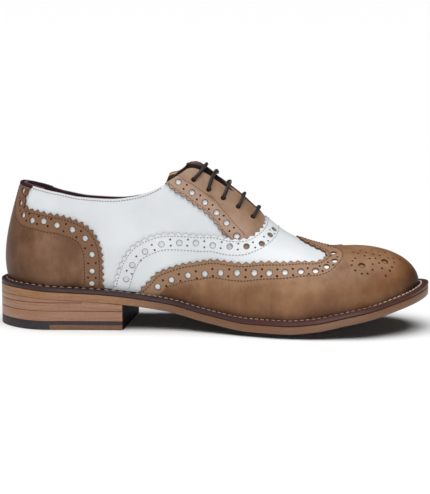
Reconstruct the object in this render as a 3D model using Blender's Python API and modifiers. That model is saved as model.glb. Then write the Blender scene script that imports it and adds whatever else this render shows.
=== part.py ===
"""Brogue oxford, left shoe: a lasted leather upper with its overlays on a welted sole and stacked heel.

Lengths in the tables and functions are millimetres on the last. The last's x runs from the heel's
centre to the toe, y is negative on the inner (medial) side, z is height above the floor. The part's
origin lies on the floor under the middle of the heel's leather insert.
"""
import math

import bmesh
import bpy
import numpy as np
from mathutils import Vector

MM = 0.001
HEEL_REST_X = 24.0       # the part's origin, along the last
GAP = 0.3                # clearance between pieces that meet

# The last: its rows turn about the heel's centre, run along the foot, and turn about the toe's centre
HEEL_FAN = 56.0          # stations given to the quarter turn round the heel
TOE_X = 207.0            # centre of the turn round the toe
TOE_FAN = 72.0           # stations given to the quarter turn round the toe
TOE_SHIFT = -3.0         # sideways swing of the toe's centre to the inner side
HEEL_END = -HEEL_FAN
TOE_END = TOE_X + TOE_FAN

# Bottom stock
OUTSOLE = 5.3
WELT = 3.2
WELT_UNDER = 3.0         # how far the welt reaches in under the upper
INSOLE_RISE = 1.5        # insole's top above the upper's lower edge

# Upper stock
WALL = 2.0               # quarters with their lining
COVER = 1.0              # leather of each overlay
FEATHER_TRIM = 1.4       # overlays stop this far above the upper's lower edge
TONGUE = 2.0
TONGUE_DEPTH = 2.8       # tongue's outer face below the last's surface
TONGUE_TUCK = 1.4        # how much deeper its edges lie
TONGUE_HALF = 24.0       # half width of the tongue, measured along its curve
TONGUE_TOP = 99.0        # station of the tongue's free end on the ridge
TONGUE_SLOPE = 0.5       # how the free end falls back beside the ridge
TONGUE_ROOT = 155.0

# Lacing
LACE = 2.7
LACE_CLEAR = 0.5         # bar above the facing
LACE_SAG_GAP = 6.0       # throat width past which a bar drops onto the tongue
EYELET = 3.8
EYELET_INSET = 10.0      # eyelet's centre from the throat's edge
EYELETS = (98.0, 109.0, 119.5, 129.5, 139.5)
LACE_SLANT = 4.0         # how far a bar leans forward at the ridge
LACE_EASE = 1.5          # how late a bar turns towards the ridge

# Heel, heights above the floor
BREAST = 51.5
BREAST_SKEW = 0.07       # the outer corner stands further forward
INSERT_X = -2.0          # rear end of the leather insert
INSERT = 3.8
RUBBER = 6.2
LIFT_1 = 13.4
LIFT_2 = 19.3
WEDGE_END = 16.0

# Mesh density
HEEL_STEPS = 6
BODY_STEPS = 21
TOE_STEPS = 8
WALL_STEPS = 8
CURVE_SAMPLES = 80
TONGUE_STEPS = 8
LACE_STEPS = 8
DRILL_SIDES = 8
OUTSOLE_SHARES = [1.0, 0.72, 0.42, 0.0]    # points of a row, as shares of its reach
INSOLE_SHARES = [1.0, 0.0]
HEEL_SHARES = [1.0, 0.5, 0.0]
NEAR_STATION = 1.5       # a station this near the end of a heel piece is left out
SHARP_ANGLE = 40.0

# Cutters reach well past the shoe
FAR = 80.0
LOW = -10.0
HIGH = 140.0
AHEAD = 290.0
BEHIND = -60.0
DRILL_DEPTH = 12.0

# A row for each section: reach of the sole's edge on the inner and outer side, ledge of welt outside
# the upper, height of the sole's edge, and the four points of the wall's curve, from the lower edge
# (flare, rise) over the shoulder to the crest.
LAST_COLUMNS = ("station", "sole_in", "sole_out", "ledge", "tread", "camber", "flare_in", "flare_out",
                "rise", "shoulder", "shoulder_z", "crest", "crest_z")
LAST_ROWS = (
    (-56, 41.3, 41.3, 6.3, 23.6, 0.0, 5.5, 5.5, 19.8, 33.0, 78.0, 19.0, 120.0),
    (-28, 37.0, 37.0, 6.3, 23.3, 0.0, 5.6, 5.6, 19.3, 31.5, 78.0, 17.5, 121.0),
    (0, 33.5, 33.5, 6.3, 21.6, 0.0, 6.3, 6.3, 19.5, 31.0, 78.0, 16.0, 124.0),
    (40, 31.0, 34.0, 6.3, 19.2, 0.0, 8.5, 8.0, 22.0, 35.0, 79.0, 16.0, 124.0),
    (80, 30.0, 37.5, 6.3, 14.0, 0.8, 9.5, 6.0, 34.0, 25.0, 106.0, 0.0, 124.5),
    (110, 36.0, 42.0, 6.3, 7.4, 3.0, 8.5, 5.5, 40.0, 11.5, 113.2, 0.0, 113.2),
    (140, 45.5, 47.0, 6.3, 3.5, 4.6, 8.0, 6.0, 33.0, 17.5, 84.4, 0.0, 84.4),
    (165, 51.0, 50.0, 6.5, 3.4, 4.6, 7.0, 6.5, 20.0, 27.0, 64.3, 0.0, 64.3),
    (185, 52.0, 50.0, 6.5, 5.4, 3.6, 6.5, 6.5, 18.0, 30.0, 57.0, 0.0, 57.0),
    (207, 49.0, 46.5, 6.5, 9.8, 2.0, 6.0, 6.0, 17.0, 29.0, 55.7, 0.0, 55.7),
    (231, 48.3, 46.0, 6.5, 15.2, 2.0, 5.0, 5.0, 15.5, 28.0, 55.7, 0.0, 55.7),
    (255, 52.8, 51.6, 8.0, 21.2, 2.0, 2.5, 2.5, 15.2, 28.0, 55.7, 0.0, 55.7),
    (279, 57.0, 57.0, 9.2, 24.6, 2.0, 0.0, 0.0, 13.8, 28.0, 55.7, 0.0, 55.7),
)

# Height of the collar on the inner and outer side; past the facing's corner the throat bounds the wall
COLLAR_COLUMNS = ("station", "collar_in", "collar_out")
COLLAR_ROWS = (
    (-56, 101.2, 101.2),
    (-28, 100.6, 99.0),
    (0, 97.7, 92.5),
    (20, 94.3, 88.3),
    (42, 93.3, 87.3),
    (58, 94.9, 89.6),
    (70, 98.2, 94.2),
    (80, 103.4, 101.3),
    (96, 113.0, 112.5),
    (100, 126.0, 126.0),
)

# Half the width of the throat, closing to the vamp
THROAT_COLUMNS = ("station", "half_gap")
THROAT_ROWS = ((96, 9.0), (110, 9.2), (122, 8.4), (132, 6.0), (140, 3.6), (147.8, 0.0))

# Pattern edges as seen from the side, x and z, each from the lower edge upwards
COUNTER_EDGE = ((36.3, 28), (36.5, 49), (35.5, 58), (33.5, 65), (30, 71), (24, 75.5), (15, 79.3),
                (6, 82), (-4, 83.5), (-13, 84.8), (-19, 86.5), (-20, 90), (-18.5, 95), (-15, 101))
VAMP_EDGE = ((41.5, 24), (42.3, 31), (45.5, 41.2), (49.5, 51.5), (55.5, 59.5), (62, 64.4), (72, 68.4),
             (86.5, 69.8), (104, 68.8), (122, 67.4), (132.5, 66.8), (138.3, 67.8), (143, 70.2),
             (146.3, 73.5), (147.5, 77), (147, 82))
FACING_EDGE = ((120.5, 68.5), (116, 73.7), (112.5, 77.4), (106, 83.5), (101, 87), (92, 93),
               (82, 100.2), (76, 105))
WING_EDGE = ((60, 26), (61.5, 29.7), (66, 33.8), (72, 40.4), (77.5, 43.8), (83.5, 46.1), (94, 49.1),
             (105.5, 51.2), (122, 51.9), (149, 52.2), (170, 51.8), (184.5, 51.7), (188.3, 52.6),
             (191, 54.4), (189.7, 56.1), (186, 57.4), (179, 60.2), (174.5, 62.4), (170.5, 64.6))

TAN = "96735a"
BURNISHED = "8a6446"
WHITE = "e6e9ea"
DARK_BROWN = "33222a"
SOLE_TAN = "9a7050"
HEEL_TAN = "9c7a62"
RUBBER_DARK = "3c303a"
INSOLE_BROWN = "4a3028"
LACE_BROWN = "3a3236"
POLISHED = 0.36          # roughness of polished upper leather, of waxed edges and of matt stock
WAXED = 0.5
MATT = 0.6


def table(columns, rows):
    """Turn rows of numbers into named columns."""
    return {name: [row[i] for row in rows] for i, name in enumerate(columns)}


LAST = table(LAST_COLUMNS, LAST_ROWS)
COLLAR = table(COLLAR_COLUMNS, COLLAR_ROWS)
THROAT = table(THROAT_COLUMNS, THROAT_ROWS)


def smooth(xs, ys, x):
    """Curve through the table's points with no overshoot (monotone cubic)."""
    xs = np.asarray(xs, float)
    ys = np.asarray(ys, float)
    width = np.diff(xs)
    rate = np.diff(ys) / width
    slope = np.zeros(len(xs))
    for i in range(1, len(xs) - 1):
        if rate[i - 1] * rate[i] > 0:
            before = 2 * width[i] + width[i - 1]
            after = width[i] + 2 * width[i - 1]
            slope[i] = (before + after) / (before / rate[i - 1] + after / rate[i])
    x = np.clip(np.asarray(x, float), xs[0], xs[-1])
    i = np.clip(np.searchsorted(xs, x) - 1, 0, len(width) - 1)
    t = (x - xs[i]) / width[i]
    ends = ys[i] * (1 + 2 * t) * (1 - t) ** 2 + ys[i + 1] * t * t * (3 - 2 * t)
    return ends + width[i] * t * (1 - t) * (slope[i] * (1 - t) - slope[i + 1] * t)


def last(name, station):
    return smooth(LAST["station"], LAST[name], station)


def by_side(name, side):
    return name + ("_in" if side < 0 else "_out")


def ray(station, side):
    """Where a row of the last starts in plan, and the way it points."""
    x = min(max(station, 0.0), TOE_X)
    turn = 90.0
    if station < 0:
        turn = 90.0 - 90.0 * station / HEEL_FAN
    if station > TOE_X:
        turn = 90.0 - 90.0 * (station - TOE_X) / TOE_FAN
    turn = math.radians(turn)
    return x, TOE_SHIFT * x / TOE_X, math.cos(turn), side * math.sin(turn)


def in_plan(station, side, reach):
    x, y, along, across = ray(station, side)
    return x + along * reach, y + across * reach


def sole_reach(station, side):
    return float(last(by_side("sole", side), station))


def feather_reach(station, side):
    """Reach of the upper's lower edge, inside the welt's ledge."""
    return sole_reach(station, side) - float(last("ledge", station))


def sole_edge(station, side, reach):
    """Underside of the outsole without its camber, straight along a row from the spine to the edge."""
    spine = float(last("tread", min(max(station, 0.0), TOE_X)))
    edge = float(last("tread", station))
    return spine + (edge - spine) * reach / sole_reach(station, side)


def welt_bottom(station, side, reach):
    return sole_edge(station, side, reach) + OUTSOLE + GAP


def welt_top(station, side, reach):
    return welt_bottom(station, side, reach) + WELT


def wall_curve(station, side):
    """The wall's section at a station: reach, height and girth from the lower edge, sampled evenly."""
    feather = feather_reach(station, side)
    seat = welt_top(station, side, feather) + GAP
    flare = float(last(by_side("flare", side), station))
    rise = float(last("rise", station))
    reaches = (feather, feather + flare, float(last("shoulder", station)), float(last("crest", station)))
    heights = (seat, seat + rise, float(last("shoulder_z", station)), float(last("crest_z", station)))
    t = np.linspace(0, 1, CURVE_SAMPLES)
    weights = ((1 - t) ** 3, 3 * t * (1 - t) ** 2, 3 * t * t * (1 - t), t ** 3)
    reach = sum(w * p for w, p in zip(weights, reaches))
    height = sum(w * p for w, p in zip(weights, heights))
    girth = np.concatenate([[0], np.cumsum(np.hypot(np.diff(reach), np.diff(height)))])
    return reach, height, girth


def top_girth(station, side):
    """Girth at which the wall ends: at the collar, at the throat's edge, or on the ridge."""
    reach, height, girth = wall_curve(station, side)
    collar = smooth(COLLAR["station"], COLLAR[by_side("collar", side)], station)
    gap = smooth(THROAT["station"], THROAT["half_gap"], station)
    at_collar = np.interp(collar, height, girth)
    upper_half = slice(CURVE_SAMPLES // 2, None)
    at_throat = np.interp(-gap, -reach[upper_half], girth[upper_half])
    return float(min(at_collar, at_throat))


def wall_point(station, side, girth_at):
    reach, height, girth = wall_curve(station, side)
    x, y = in_plan(station, side, np.interp(girth_at, girth, reach))
    return np.array((x, y, np.interp(girth_at, girth, height)))


def crest_girth(station, side):
    return float(wall_curve(station, side)[2][-1])


def wall_normal(station, side, girth_at):
    """Outward direction of the wall."""
    step = 0.5
    along = wall_point(station + step, side, girth_at) - wall_point(station - step, side, girth_at)
    up = wall_point(station, side, girth_at + step) - wall_point(station, side, girth_at - step)
    out = np.cross(along, up) * -side
    return out / np.linalg.norm(out)


def stations():
    heel = np.linspace(HEEL_END, 0, HEEL_STEPS + 1)
    body = np.linspace(0, TOE_X, BODY_STEPS + 1)
    toe = np.linspace(TOE_X, TOE_END, TOE_STEPS + 1)
    return np.concatenate([heel, body[1:], toe[1:]])


def to_part(point):
    """Millimetres on the last to metres in the part's frame."""
    return ((point[0] - HEEL_REST_X) * MM, point[1] * MM, point[2] * MM)


def srgb(code):
    channels = [int(code[i:i + 2], 16) / 255 for i in (0, 2, 4)]
    return [c / 12.92 if c <= 0.04045 else ((c + 0.055) / 1.055) ** 2.4 for c in channels] + [1.0]


def material(name, code, roughness):
    finish = bpy.data.materials.new(name)
    finish.use_nodes = True
    shader = finish.node_tree.nodes["Principled BSDF"]
    shader.inputs["Base Color"].default_value = srgb(code)
    shader.inputs["Roughness"].default_value = roughness
    shader.inputs["Metallic"].default_value = 0.0
    return finish


def collection(name):
    group = bpy.data.collections.new(name)
    bpy.context.scene.collection.children.link(group)
    return group


def part(name, data, code, roughness):
    """A sub-part: its own object and material in the shoe's collection."""
    thing = bpy.data.objects.new(name, data)
    thing.data.materials.append(material(name, code, roughness))
    SHOE.objects.link(thing)
    return thing


def cutter(name, data):
    thing = bpy.data.objects.new(name, data)
    thing.hide_render = True
    thing.display_type = "WIRE"
    CUTTERS.objects.link(thing)
    return thing


def finished_mesh(name, work, closed):
    """Weld coincident points, point the faces outwards and store the mesh.

    An open surface is cut into triangles here, so that layers raised off it keep the same facets.
    """
    bmesh.ops.remove_doubles(work, verts=work.verts, dist=1e-7)
    bmesh.ops.dissolve_degenerate(work, edges=work.edges, dist=1e-7)
    bmesh.ops.recalc_face_normals(work, faces=work.faces)
    if not closed:
        bmesh.ops.triangulate(work, faces=work.faces, quad_method="FIXED")
        middle = sum((v.co for v in work.verts), Vector()) / len(work.verts)
        outward = sum(f.normal.dot(f.calc_center_median() - middle) * f.calc_area() for f in work.faces)
        if outward < 0:
            bmesh.ops.reverse_faces(work, faces=work.faces)
    data = bpy.data.meshes.new(name)
    work.to_mesh(data)
    work.free()
    return data


def add_grid(work, points):
    """Quads over a grid of points, given as a list of equally long rows."""
    grid = [[work.verts.new(to_part(p)) for p in row] for row in points]
    for near, far in zip(grid, grid[1:]):
        for i in range(len(near) - 1):
            work.faces.new((near[i], near[i + 1], far[i + 1], far[i]))
    return grid


def lasted_surface(name, trim):
    """The last's surface from the lower edge, less a trim, to the collar, throat or ridge."""
    work = bmesh.new()
    for side in (-1, 1):
        rows = []
        for station in stations():
            girths = np.linspace(0.0, top_girth(station, side), WALL_STEPS + 1)
            girths[0] = trim
            rows.append([wall_point(station, side, g) for g in girths])
        add_grid(work, rows)
    return finished_mesh(name, work, closed=False)


def thicken(thing, lift, thickness, outwards):
    """Raise a surface off the last and give it its leather's thickness."""
    if lift:
        raised = thing.modifiers.new("raise", "DISPLACE")
        raised.mid_level = 0.0
        raised.strength = lift * MM
    wall = thing.modifiers.new("wall", "SOLIDIFY")
    wall.thickness = thickness * MM
    wall.offset = 1.0 if outwards else -1.0


def cut(thing, tool, operation):
    step = thing.modifiers.new(operation.lower(), "BOOLEAN")
    step.operation = operation
    step.solver = "EXACT"
    step.object = tool


def side_prism(name, outline, y_from, y_to):
    """A cutter: a side-view outline drawn through the shoe."""
    work = bmesh.new()
    base = work.faces.new([work.verts.new(to_part((x, y_from, z))) for x, z in outline])
    extruded = bmesh.ops.extrude_face_region(work, geom=[base])
    moved = [v for v in extruded["geom"] if isinstance(v, bmesh.types.BMVert)]
    bmesh.ops.translate(work, verts=moved, vec=(0, (y_to - y_from) * MM, 0))
    return cutter(name, finished_mesh(name, work, closed=True))


def shifted(edge, dx, dz):
    return [(x + dx, z + dz) for x, z in edge]


def make_upper():
    upper = part("upper", lasted_surface("upper", 0.0), WHITE, POLISHED)
    thicken(upper, 0.0, WALL, outwards=False)
    return upper


def make_cover(name, outline, lift, code, y_from=-FAR, y_to=FAR):
    """An overlay: a shell raised off the upper, cut to its pattern's outline."""
    cover = part(name, lasted_surface(name, FEATHER_TRIM), code, POLISHED)
    thicken(cover, lift, COVER, outwards=True)
    cut(cover, side_prism(name + "_outline", outline, y_from, y_to), "INTERSECT")
    return cover


def make_covers():
    counter = [(BEHIND, LOW), (COUNTER_EDGE[0][0], LOW), *COUNTER_EDGE, (COUNTER_EDGE[-1][0], HIGH),
               (BEHIND, HIGH)]
    make_cover("heel_counter", counter, GAP, TAN)
    vamp = [(AHEAD, LOW), (VAMP_EDGE[0][0], LOW), *VAMP_EDGE, (VAMP_EDGE[-1][0], HIGH), (AHEAD, HIGH)]
    make_cover("vamp", vamp, GAP, WHITE)
    wing = [(AHEAD, LOW), (WING_EDGE[0][0], LOW), *WING_EDGE, (WING_EDGE[-1][0], HIGH), (AHEAD, HIGH)]
    make_cover("wing_cap", wing, 2 * GAP + COVER, BURNISHED)
    meeting = shifted([p for p in VAMP_EDGE if p[0] > FACING_EDGE[0][0]], -GAP, GAP)
    facing = [(FACING_EDGE[-1][0], HIGH), (meeting[-1][0], HIGH), *reversed(meeting), *FACING_EDGE]
    ridge = TOE_SHIFT * EYELETS[-1] / TOE_X
    return [make_cover("facing_medial", facing, GAP, TAN, y_to=ridge),
            make_cover("facing_lateral", facing, GAP, TAN, y_from=ridge)]


def make_eyelets(upper, facings):
    """Holes through the facings and the wall under them."""
    for facing, side in zip(facings, (-1, 1)):
        for number, station in enumerate(EYELETS, 1):
            girth = top_girth(station, side) - EYELET_INSET
            centre = wall_point(station, side, girth)
            bpy.ops.mesh.primitive_cylinder_add(
                vertices=DRILL_SIDES, radius=EYELET / 2 * MM, depth=DRILL_DEPTH * MM,
                location=to_part(centre))
            drill = bpy.context.object
            drill.name = f"eyelet_{number}_{'medial' if side < 0 else 'lateral'}"
            out = wall_normal(station, side, girth)
            drill.rotation_euler = (0, math.acos(out[2]), math.atan2(out[1], out[0]))
            drill.hide_render = True
            drill.display_type = "WIRE"
            for group in list(drill.users_collection):
                group.objects.unlink(drill)
            CUTTERS.objects.link(drill)
            cut(upper, drill, "DIFFERENCE")
            cut(facing, drill, "DIFFERENCE")


def make_tongue():
    """A strip under the throat, along the last's surface, with a rounded free end above the collar."""
    work = bmesh.new()
    rows = []
    for across in np.linspace(-TONGUE_HALF, TONGUE_HALF, TONGUE_STEPS + 1):
        side = -1 if across < 0 else 1
        start = TONGUE_TOP - TONGUE_SLOPE * abs(across)
        row = []
        for station in np.linspace(start, TONGUE_ROOT, TONGUE_STEPS + 1):
            girth = crest_girth(station, side) - abs(across)
            depth = TONGUE_DEPTH + TONGUE_TUCK * abs(across) / TONGUE_HALF
            inwards = np.array((0.0, 0.0, -1.0))
            if across:
                inwards = -wall_normal(station, side, girth)
            row.append(wall_point(station, side, girth) + inwards * depth)
        rows.append(row)
    add_grid(work, rows)
    tongue = part("tongue", finished_mesh("tongue", work, closed=False), DARK_BROWN, WAXED)
    thicken(tongue, 0.0, TONGUE, outwards=False)


def lace_path(station):
    """A bar's middle line: from eyelet to eyelet over the facings, down to the tongue between them."""
    over_facing = GAP + COVER + LACE_CLEAR + LACE / 2
    over_tongue = GAP + LACE / 2 - TONGUE_DEPTH
    path = []
    for place in np.linspace(-1, 1, LACE_STEPS + 1):
        side = -1 if place < 0 else 1
        row = station + LACE_SLANT * (1 - abs(place) ** LACE_EASE)
        crest = crest_girth(row, side)
        edge = crest - top_girth(row, side)
        away = abs(place) * (crest_girth(station, side) - top_girth(station, side) + EYELET_INSET)
        rise = min(1.0, away / max(edge - LACE / 2, 1.0)) ** LACE_EASE
        dip = (over_facing - over_tongue) * min(1.0, max(0.0, edge - LACE) / LACE_SAG_GAP)
        lift = over_facing - dip * (1.0 - rise)
        point = wall_point(row, side, crest - away)
        out = np.array((0.0, 0.0, 1.0))
        if place:
            out = wall_normal(row, side, crest - away)
        path.append(point + out * lift)
    return path


def make_laces():
    for number, station in enumerate(EYELETS, 1):
        name = f"lace_bar_{number}"
        curve = bpy.data.curves.new(name, "CURVE")
        curve.dimensions = "3D"
        curve.bevel_depth = LACE / 2 * MM
        curve.bevel_resolution = 2
        curve.use_fill_caps = True
        path = lace_path(station)
        line = curve.splines.new("POLY")
        line.points.add(len(path) - 1)
        for spot, place in zip(line.points, path):
            spot.co = (*to_part(place), 1.0)
        part(name, curve, LACE_BROWN, MATT)


def across_row(station, reach_of, fractions):
    """Plan points and reaches of one row, from the inner edge over the spine to the outer edge."""
    row = []
    for side in (-1, 1):
        order = fractions if side < 0 else fractions[::-1][1:]
        for fraction in order:
            reach = reach_of(station, side) * fraction
            row.append((side, reach, *in_plan(station, side, reach)))
    return row


def plate_mesh(name, rows, reach_of, fractions, skew=0.0):
    """A closed plate. Each row gives its station and the functions of its top and its bottom."""
    work = bmesh.new()
    tops = []
    bottoms = []
    for station, top_of, bottom_of in rows:
        line = across_row(station, reach_of, fractions)
        lean = skew * max(0.0, station / BREAST)
        tops.append([(x + lean * y, y, top_of(station, side, reach)) for side, reach, x, y in line])
        bottoms.append([(x + lean * y, y, bottom_of(station, side, reach)) for side, reach, x, y in line])
    add_grid(work, tops)
    add_grid(work, bottoms)
    for edge in (0, -1):
        add_grid(work, [[row[edge] for row in tops], [row[edge] for row in bottoms]])
        if rows[edge][0] not in (HEEL_END, TOE_END):
            add_grid(work, [tops[edge], bottoms[edge]])
    return finished_mesh(name, work, closed=True)


def level(height):
    return lambda station, side, reach: height


def tread_surface(station, side, reach):
    """Underside of the outsole: cambered under the forefoot, worn flat where it meets the floor."""
    share = reach / sole_reach(station, side)
    spine = float(last("camber", min(max(station, 0.0), TOE_X)))
    edge = float(last("camber", station))
    camber = (spine + (edge - spine) * share) * (1 - share ** 2)
    return max(0.0, sole_edge(station, side, reach) - camber)


def outsole_top(station, side, reach):
    return sole_edge(station, side, reach) + OUTSOLE


def insole_top(station, side, reach):
    return welt_top(station, side, reach) + GAP + INSOLE_RISE


def insole_reach(station, side):
    return feather_reach(station, side) - WELT_UNDER - GAP


def make_outsole():
    rows = [(s, outsole_top, tread_surface) for s in stations()]
    data = plate_mesh("outsole", rows, sole_reach, OUTSOLE_SHARES)
    part("outsole", data, SOLE_TAN, WAXED)


def make_welt():
    """A ring round the whole shoe, from the sole's edge to just inside the upper's lower edge."""
    work = bmesh.new()
    for side in (-1, 1):
        corners = []
        for s in stations():
            outer = sole_reach(s, side)
            inner = feather_reach(s, side) - WELT_UNDER
            corners.append([(*in_plan(s, side, reach), height(s, side, reach))
                            for reach, height in ((outer, welt_bottom), (outer, welt_top),
                                                  (inner, welt_top), (inner, welt_bottom),
                                                  (outer, welt_bottom))])
        add_grid(work, corners)
    part("welt", finished_mesh("welt", work, closed=True), DARK_BROWN, WAXED)


def make_insole():
    rows = [(s, insole_top, welt_bottom) for s in stations()]
    data = plate_mesh("insole", rows, insole_reach, INSOLE_SHARES)
    part("insole", data, INSOLE_BROWN, MATT)


def heel_rows(end, top_of, bottom_of):
    places = [s for s in stations() if s < end - NEAR_STATION] + [end]
    return [(s, top_of, bottom_of) for s in places]


def heel_plate(name, rows, code, roughness):
    data = plate_mesh(name, rows, sole_reach, HEEL_SHARES, BREAST_SKEW)
    return part(name, data, code, roughness)


def under_sole(station, side, reach):
    return sole_edge(station, side, reach) - GAP


def box(name, low, high):
    bpy.ops.mesh.primitive_cube_add(size=1.0)
    block = bpy.context.object
    for group in list(block.users_collection):
        group.objects.unlink(block)
    data = block.data
    bpy.data.objects.remove(block)
    a = np.array(to_part(low))
    b = np.array(to_part(high))
    for v in data.vertices:
        v.co = (a + b) / 2 + np.array(v.co) * (b - a)
    return cutter(name, data)


def make_heel():
    """Stacked lifts, a rubber top piece cut out at the front, and the leather insert in the cut."""
    rows = heel_rows(BREAST, level(RUBBER), level(0.0))
    rubber = heel_plate("heel_top_rubber", rows, RUBBER_DARK, MATT)
    cut(rubber, box("insert_seat", (INSERT_X, -FAR, LOW), (BREAST + FAR, FAR, INSERT)), "DIFFERENCE")
    rows = heel_rows(BREAST, level(INSERT - GAP), level(0.0))
    insert = heel_plate("heel_top_leather", rows, SOLE_TAN, WAXED)
    cut(insert, box("insert_end", (INSERT_X + GAP, -FAR, LOW), (BREAST + FAR, FAR, HIGH)), "INTERSECT")
    rows = heel_rows(BREAST, level(LIFT_1), level(RUBBER + GAP))
    heel_plate("heel_lift_1", rows, HEEL_TAN, WAXED)
    rear = heel_rows(WEDGE_END, level(LIFT_2), level(LIFT_1 + GAP))
    front = [(s, under_sole, level(LIFT_1 + GAP)) for s in stations()
             if WEDGE_END + NEAR_STATION < s < BREAST - NEAR_STATION]
    front = [(WEDGE_END + GAP, under_sole, level(LIFT_1 + GAP)), *front,
             (BREAST, under_sole, level(LIFT_1 + GAP))]
    heel_plate("heel_lift_2", rear + front, HEEL_TAN, WAXED)
    rows = heel_rows(WEDGE_END, under_sole, level(LIFT_2 + GAP))
    heel_plate("heel_lift_3", rows, HEEL_TAN, WAXED)


def shade(thing):
    """Smooth over the curved faces, sharp at the edges."""
    if thing.type == "MESH":
        thing.data.shade_smooth()
        thing.data.set_sharp_from_angle(angle=math.radians(SHARP_ANGLE))


for old in list(bpy.data.objects):
    bpy.data.objects.remove(old, do_unlink=True)
SHOE = collection("brogue_oxford")
CUTTERS = collection("brogue_oxford_cutters")

make_outsole()
make_welt()
make_insole()
make_heel()
upper_shell = make_upper()
facing_pair = make_covers()
make_eyelets(upper_shell, facing_pair)
make_tongue()
make_laces()
for piece in SHOE.objects:
    shade(piece)
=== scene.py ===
"""Looks of the brogue oxford: lasted leather panels, stitching, lacing, welted sole and stacked heel.

Lengths are millimetres on the last, as in the part's source: x runs from the heel's centre to the
toe, y is negative on the inner side, z is height above the floor. A pattern point is a place on the
flattened upper: the row of the last, and the girth down from the ridge. The rows turn about the
heel's and the toe's centres, so that one panel runs round either end without a seam.
"""
import math

import bpy
import numpy as np
from mathutils.geometry import delaunay_2d_cdt
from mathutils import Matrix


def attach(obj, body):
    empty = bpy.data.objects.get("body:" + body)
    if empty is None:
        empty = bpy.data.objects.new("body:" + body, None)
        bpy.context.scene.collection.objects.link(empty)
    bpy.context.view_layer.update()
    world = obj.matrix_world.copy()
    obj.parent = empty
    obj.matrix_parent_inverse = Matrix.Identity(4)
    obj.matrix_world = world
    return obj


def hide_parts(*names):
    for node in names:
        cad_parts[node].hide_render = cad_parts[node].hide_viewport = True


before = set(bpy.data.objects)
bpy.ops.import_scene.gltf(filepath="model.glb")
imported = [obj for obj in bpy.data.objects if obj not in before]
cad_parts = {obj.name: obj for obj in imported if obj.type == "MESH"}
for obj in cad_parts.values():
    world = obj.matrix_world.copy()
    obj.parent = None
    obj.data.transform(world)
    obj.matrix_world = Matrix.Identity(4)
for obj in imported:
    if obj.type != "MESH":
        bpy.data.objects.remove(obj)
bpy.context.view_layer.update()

# Sizes, most of them as in the part's source
MM = 0.001
HEEL_REST_X = 24.0       # the part's origin, along the last
GAP = 0.3                # clearance between pieces that meet
HEEL_FAN = 56.0          # stations given to the quarter turn round the heel
TOE_X = 207.0            # centre of the turn round the toe
TOE_FAN = 72.0           # stations given to the quarter turn round the toe
TOE_SHIFT = -3.0         # sideways swing of the toe's centre to the inner side
HEEL_END = -HEEL_FAN
TOE_END = TOE_X + TOE_FAN
OUTSOLE = 5.3
WELT = 3.2
WELT_UNDER = 3.0         # how far the welt reaches in under the upper
INSOLE_RISE = 1.5        # insole's top above the upper's lower edge
COVER = 1.0              # leather of each overlay
PANEL_TOP = GAP + COVER  # outer face of a panel that lies on the quarters
WING_LOW = PANEL_TOP + GAP
WING_TOP = WING_LOW + COVER
FEATHER_TRIM = 0.7       # overlays stop this far above the upper's lower edge
TONGUE = 2.0
TONGUE_DEPTH = 2.8       # tongue's outer face below the last's surface
TONGUE_TUCK = 1.4        # how much deeper its edges lie
TONGUE_HALF = 24.0       # half its width, measured along its curve
TONGUE_TOP = 94.8        # station of its free end on the ridge
TONGUE_SLOPE = 0.85      # how the free end falls back beside the ridge
TONGUE_LIFTED = 2.8      # how far the lacing lets its free end stand up
TONGUE_ROOT = 155.0
LACE = 2.5
LACE_RUN = 45.0          # about the length of one bar, for its braid
LACE_BARS = (            # station of each bar's eyelets, their girth from the ridge, the bar's slant and bow
    (98.2, 19.6, 8.5, 0.0), (109.2, 21.6, 6.0, 1.7), (119.2, 21.6, 3.5, 0.2), (129.2, 18.1, 2.8, 0.0),
    (139.5, 15.3, 2.8, 0.0),
)
LACE_SAG_GAP = 6.0       # throat width past which a bar drops onto the tongue
LACE_EASE = 1.5          # how late a bar turns towards the ridge
EYELET = 3.8             # diameter
BREAST = 51.5            # station of the heel's front
BREAST_SKEW = 0.07       # its outer corner stands further forward
INSERT_X = -2.0          # rear end of the leather insert
INSERT = 3.8             # tops of the heel's layers above the floor, from here to LIFT_2
RUBBER = 6.2
LIFT_1 = 13.4
LIFT_2 = 19.3
WEDGE_END = 22.0         # front end of the third lift, a wedge

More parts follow.
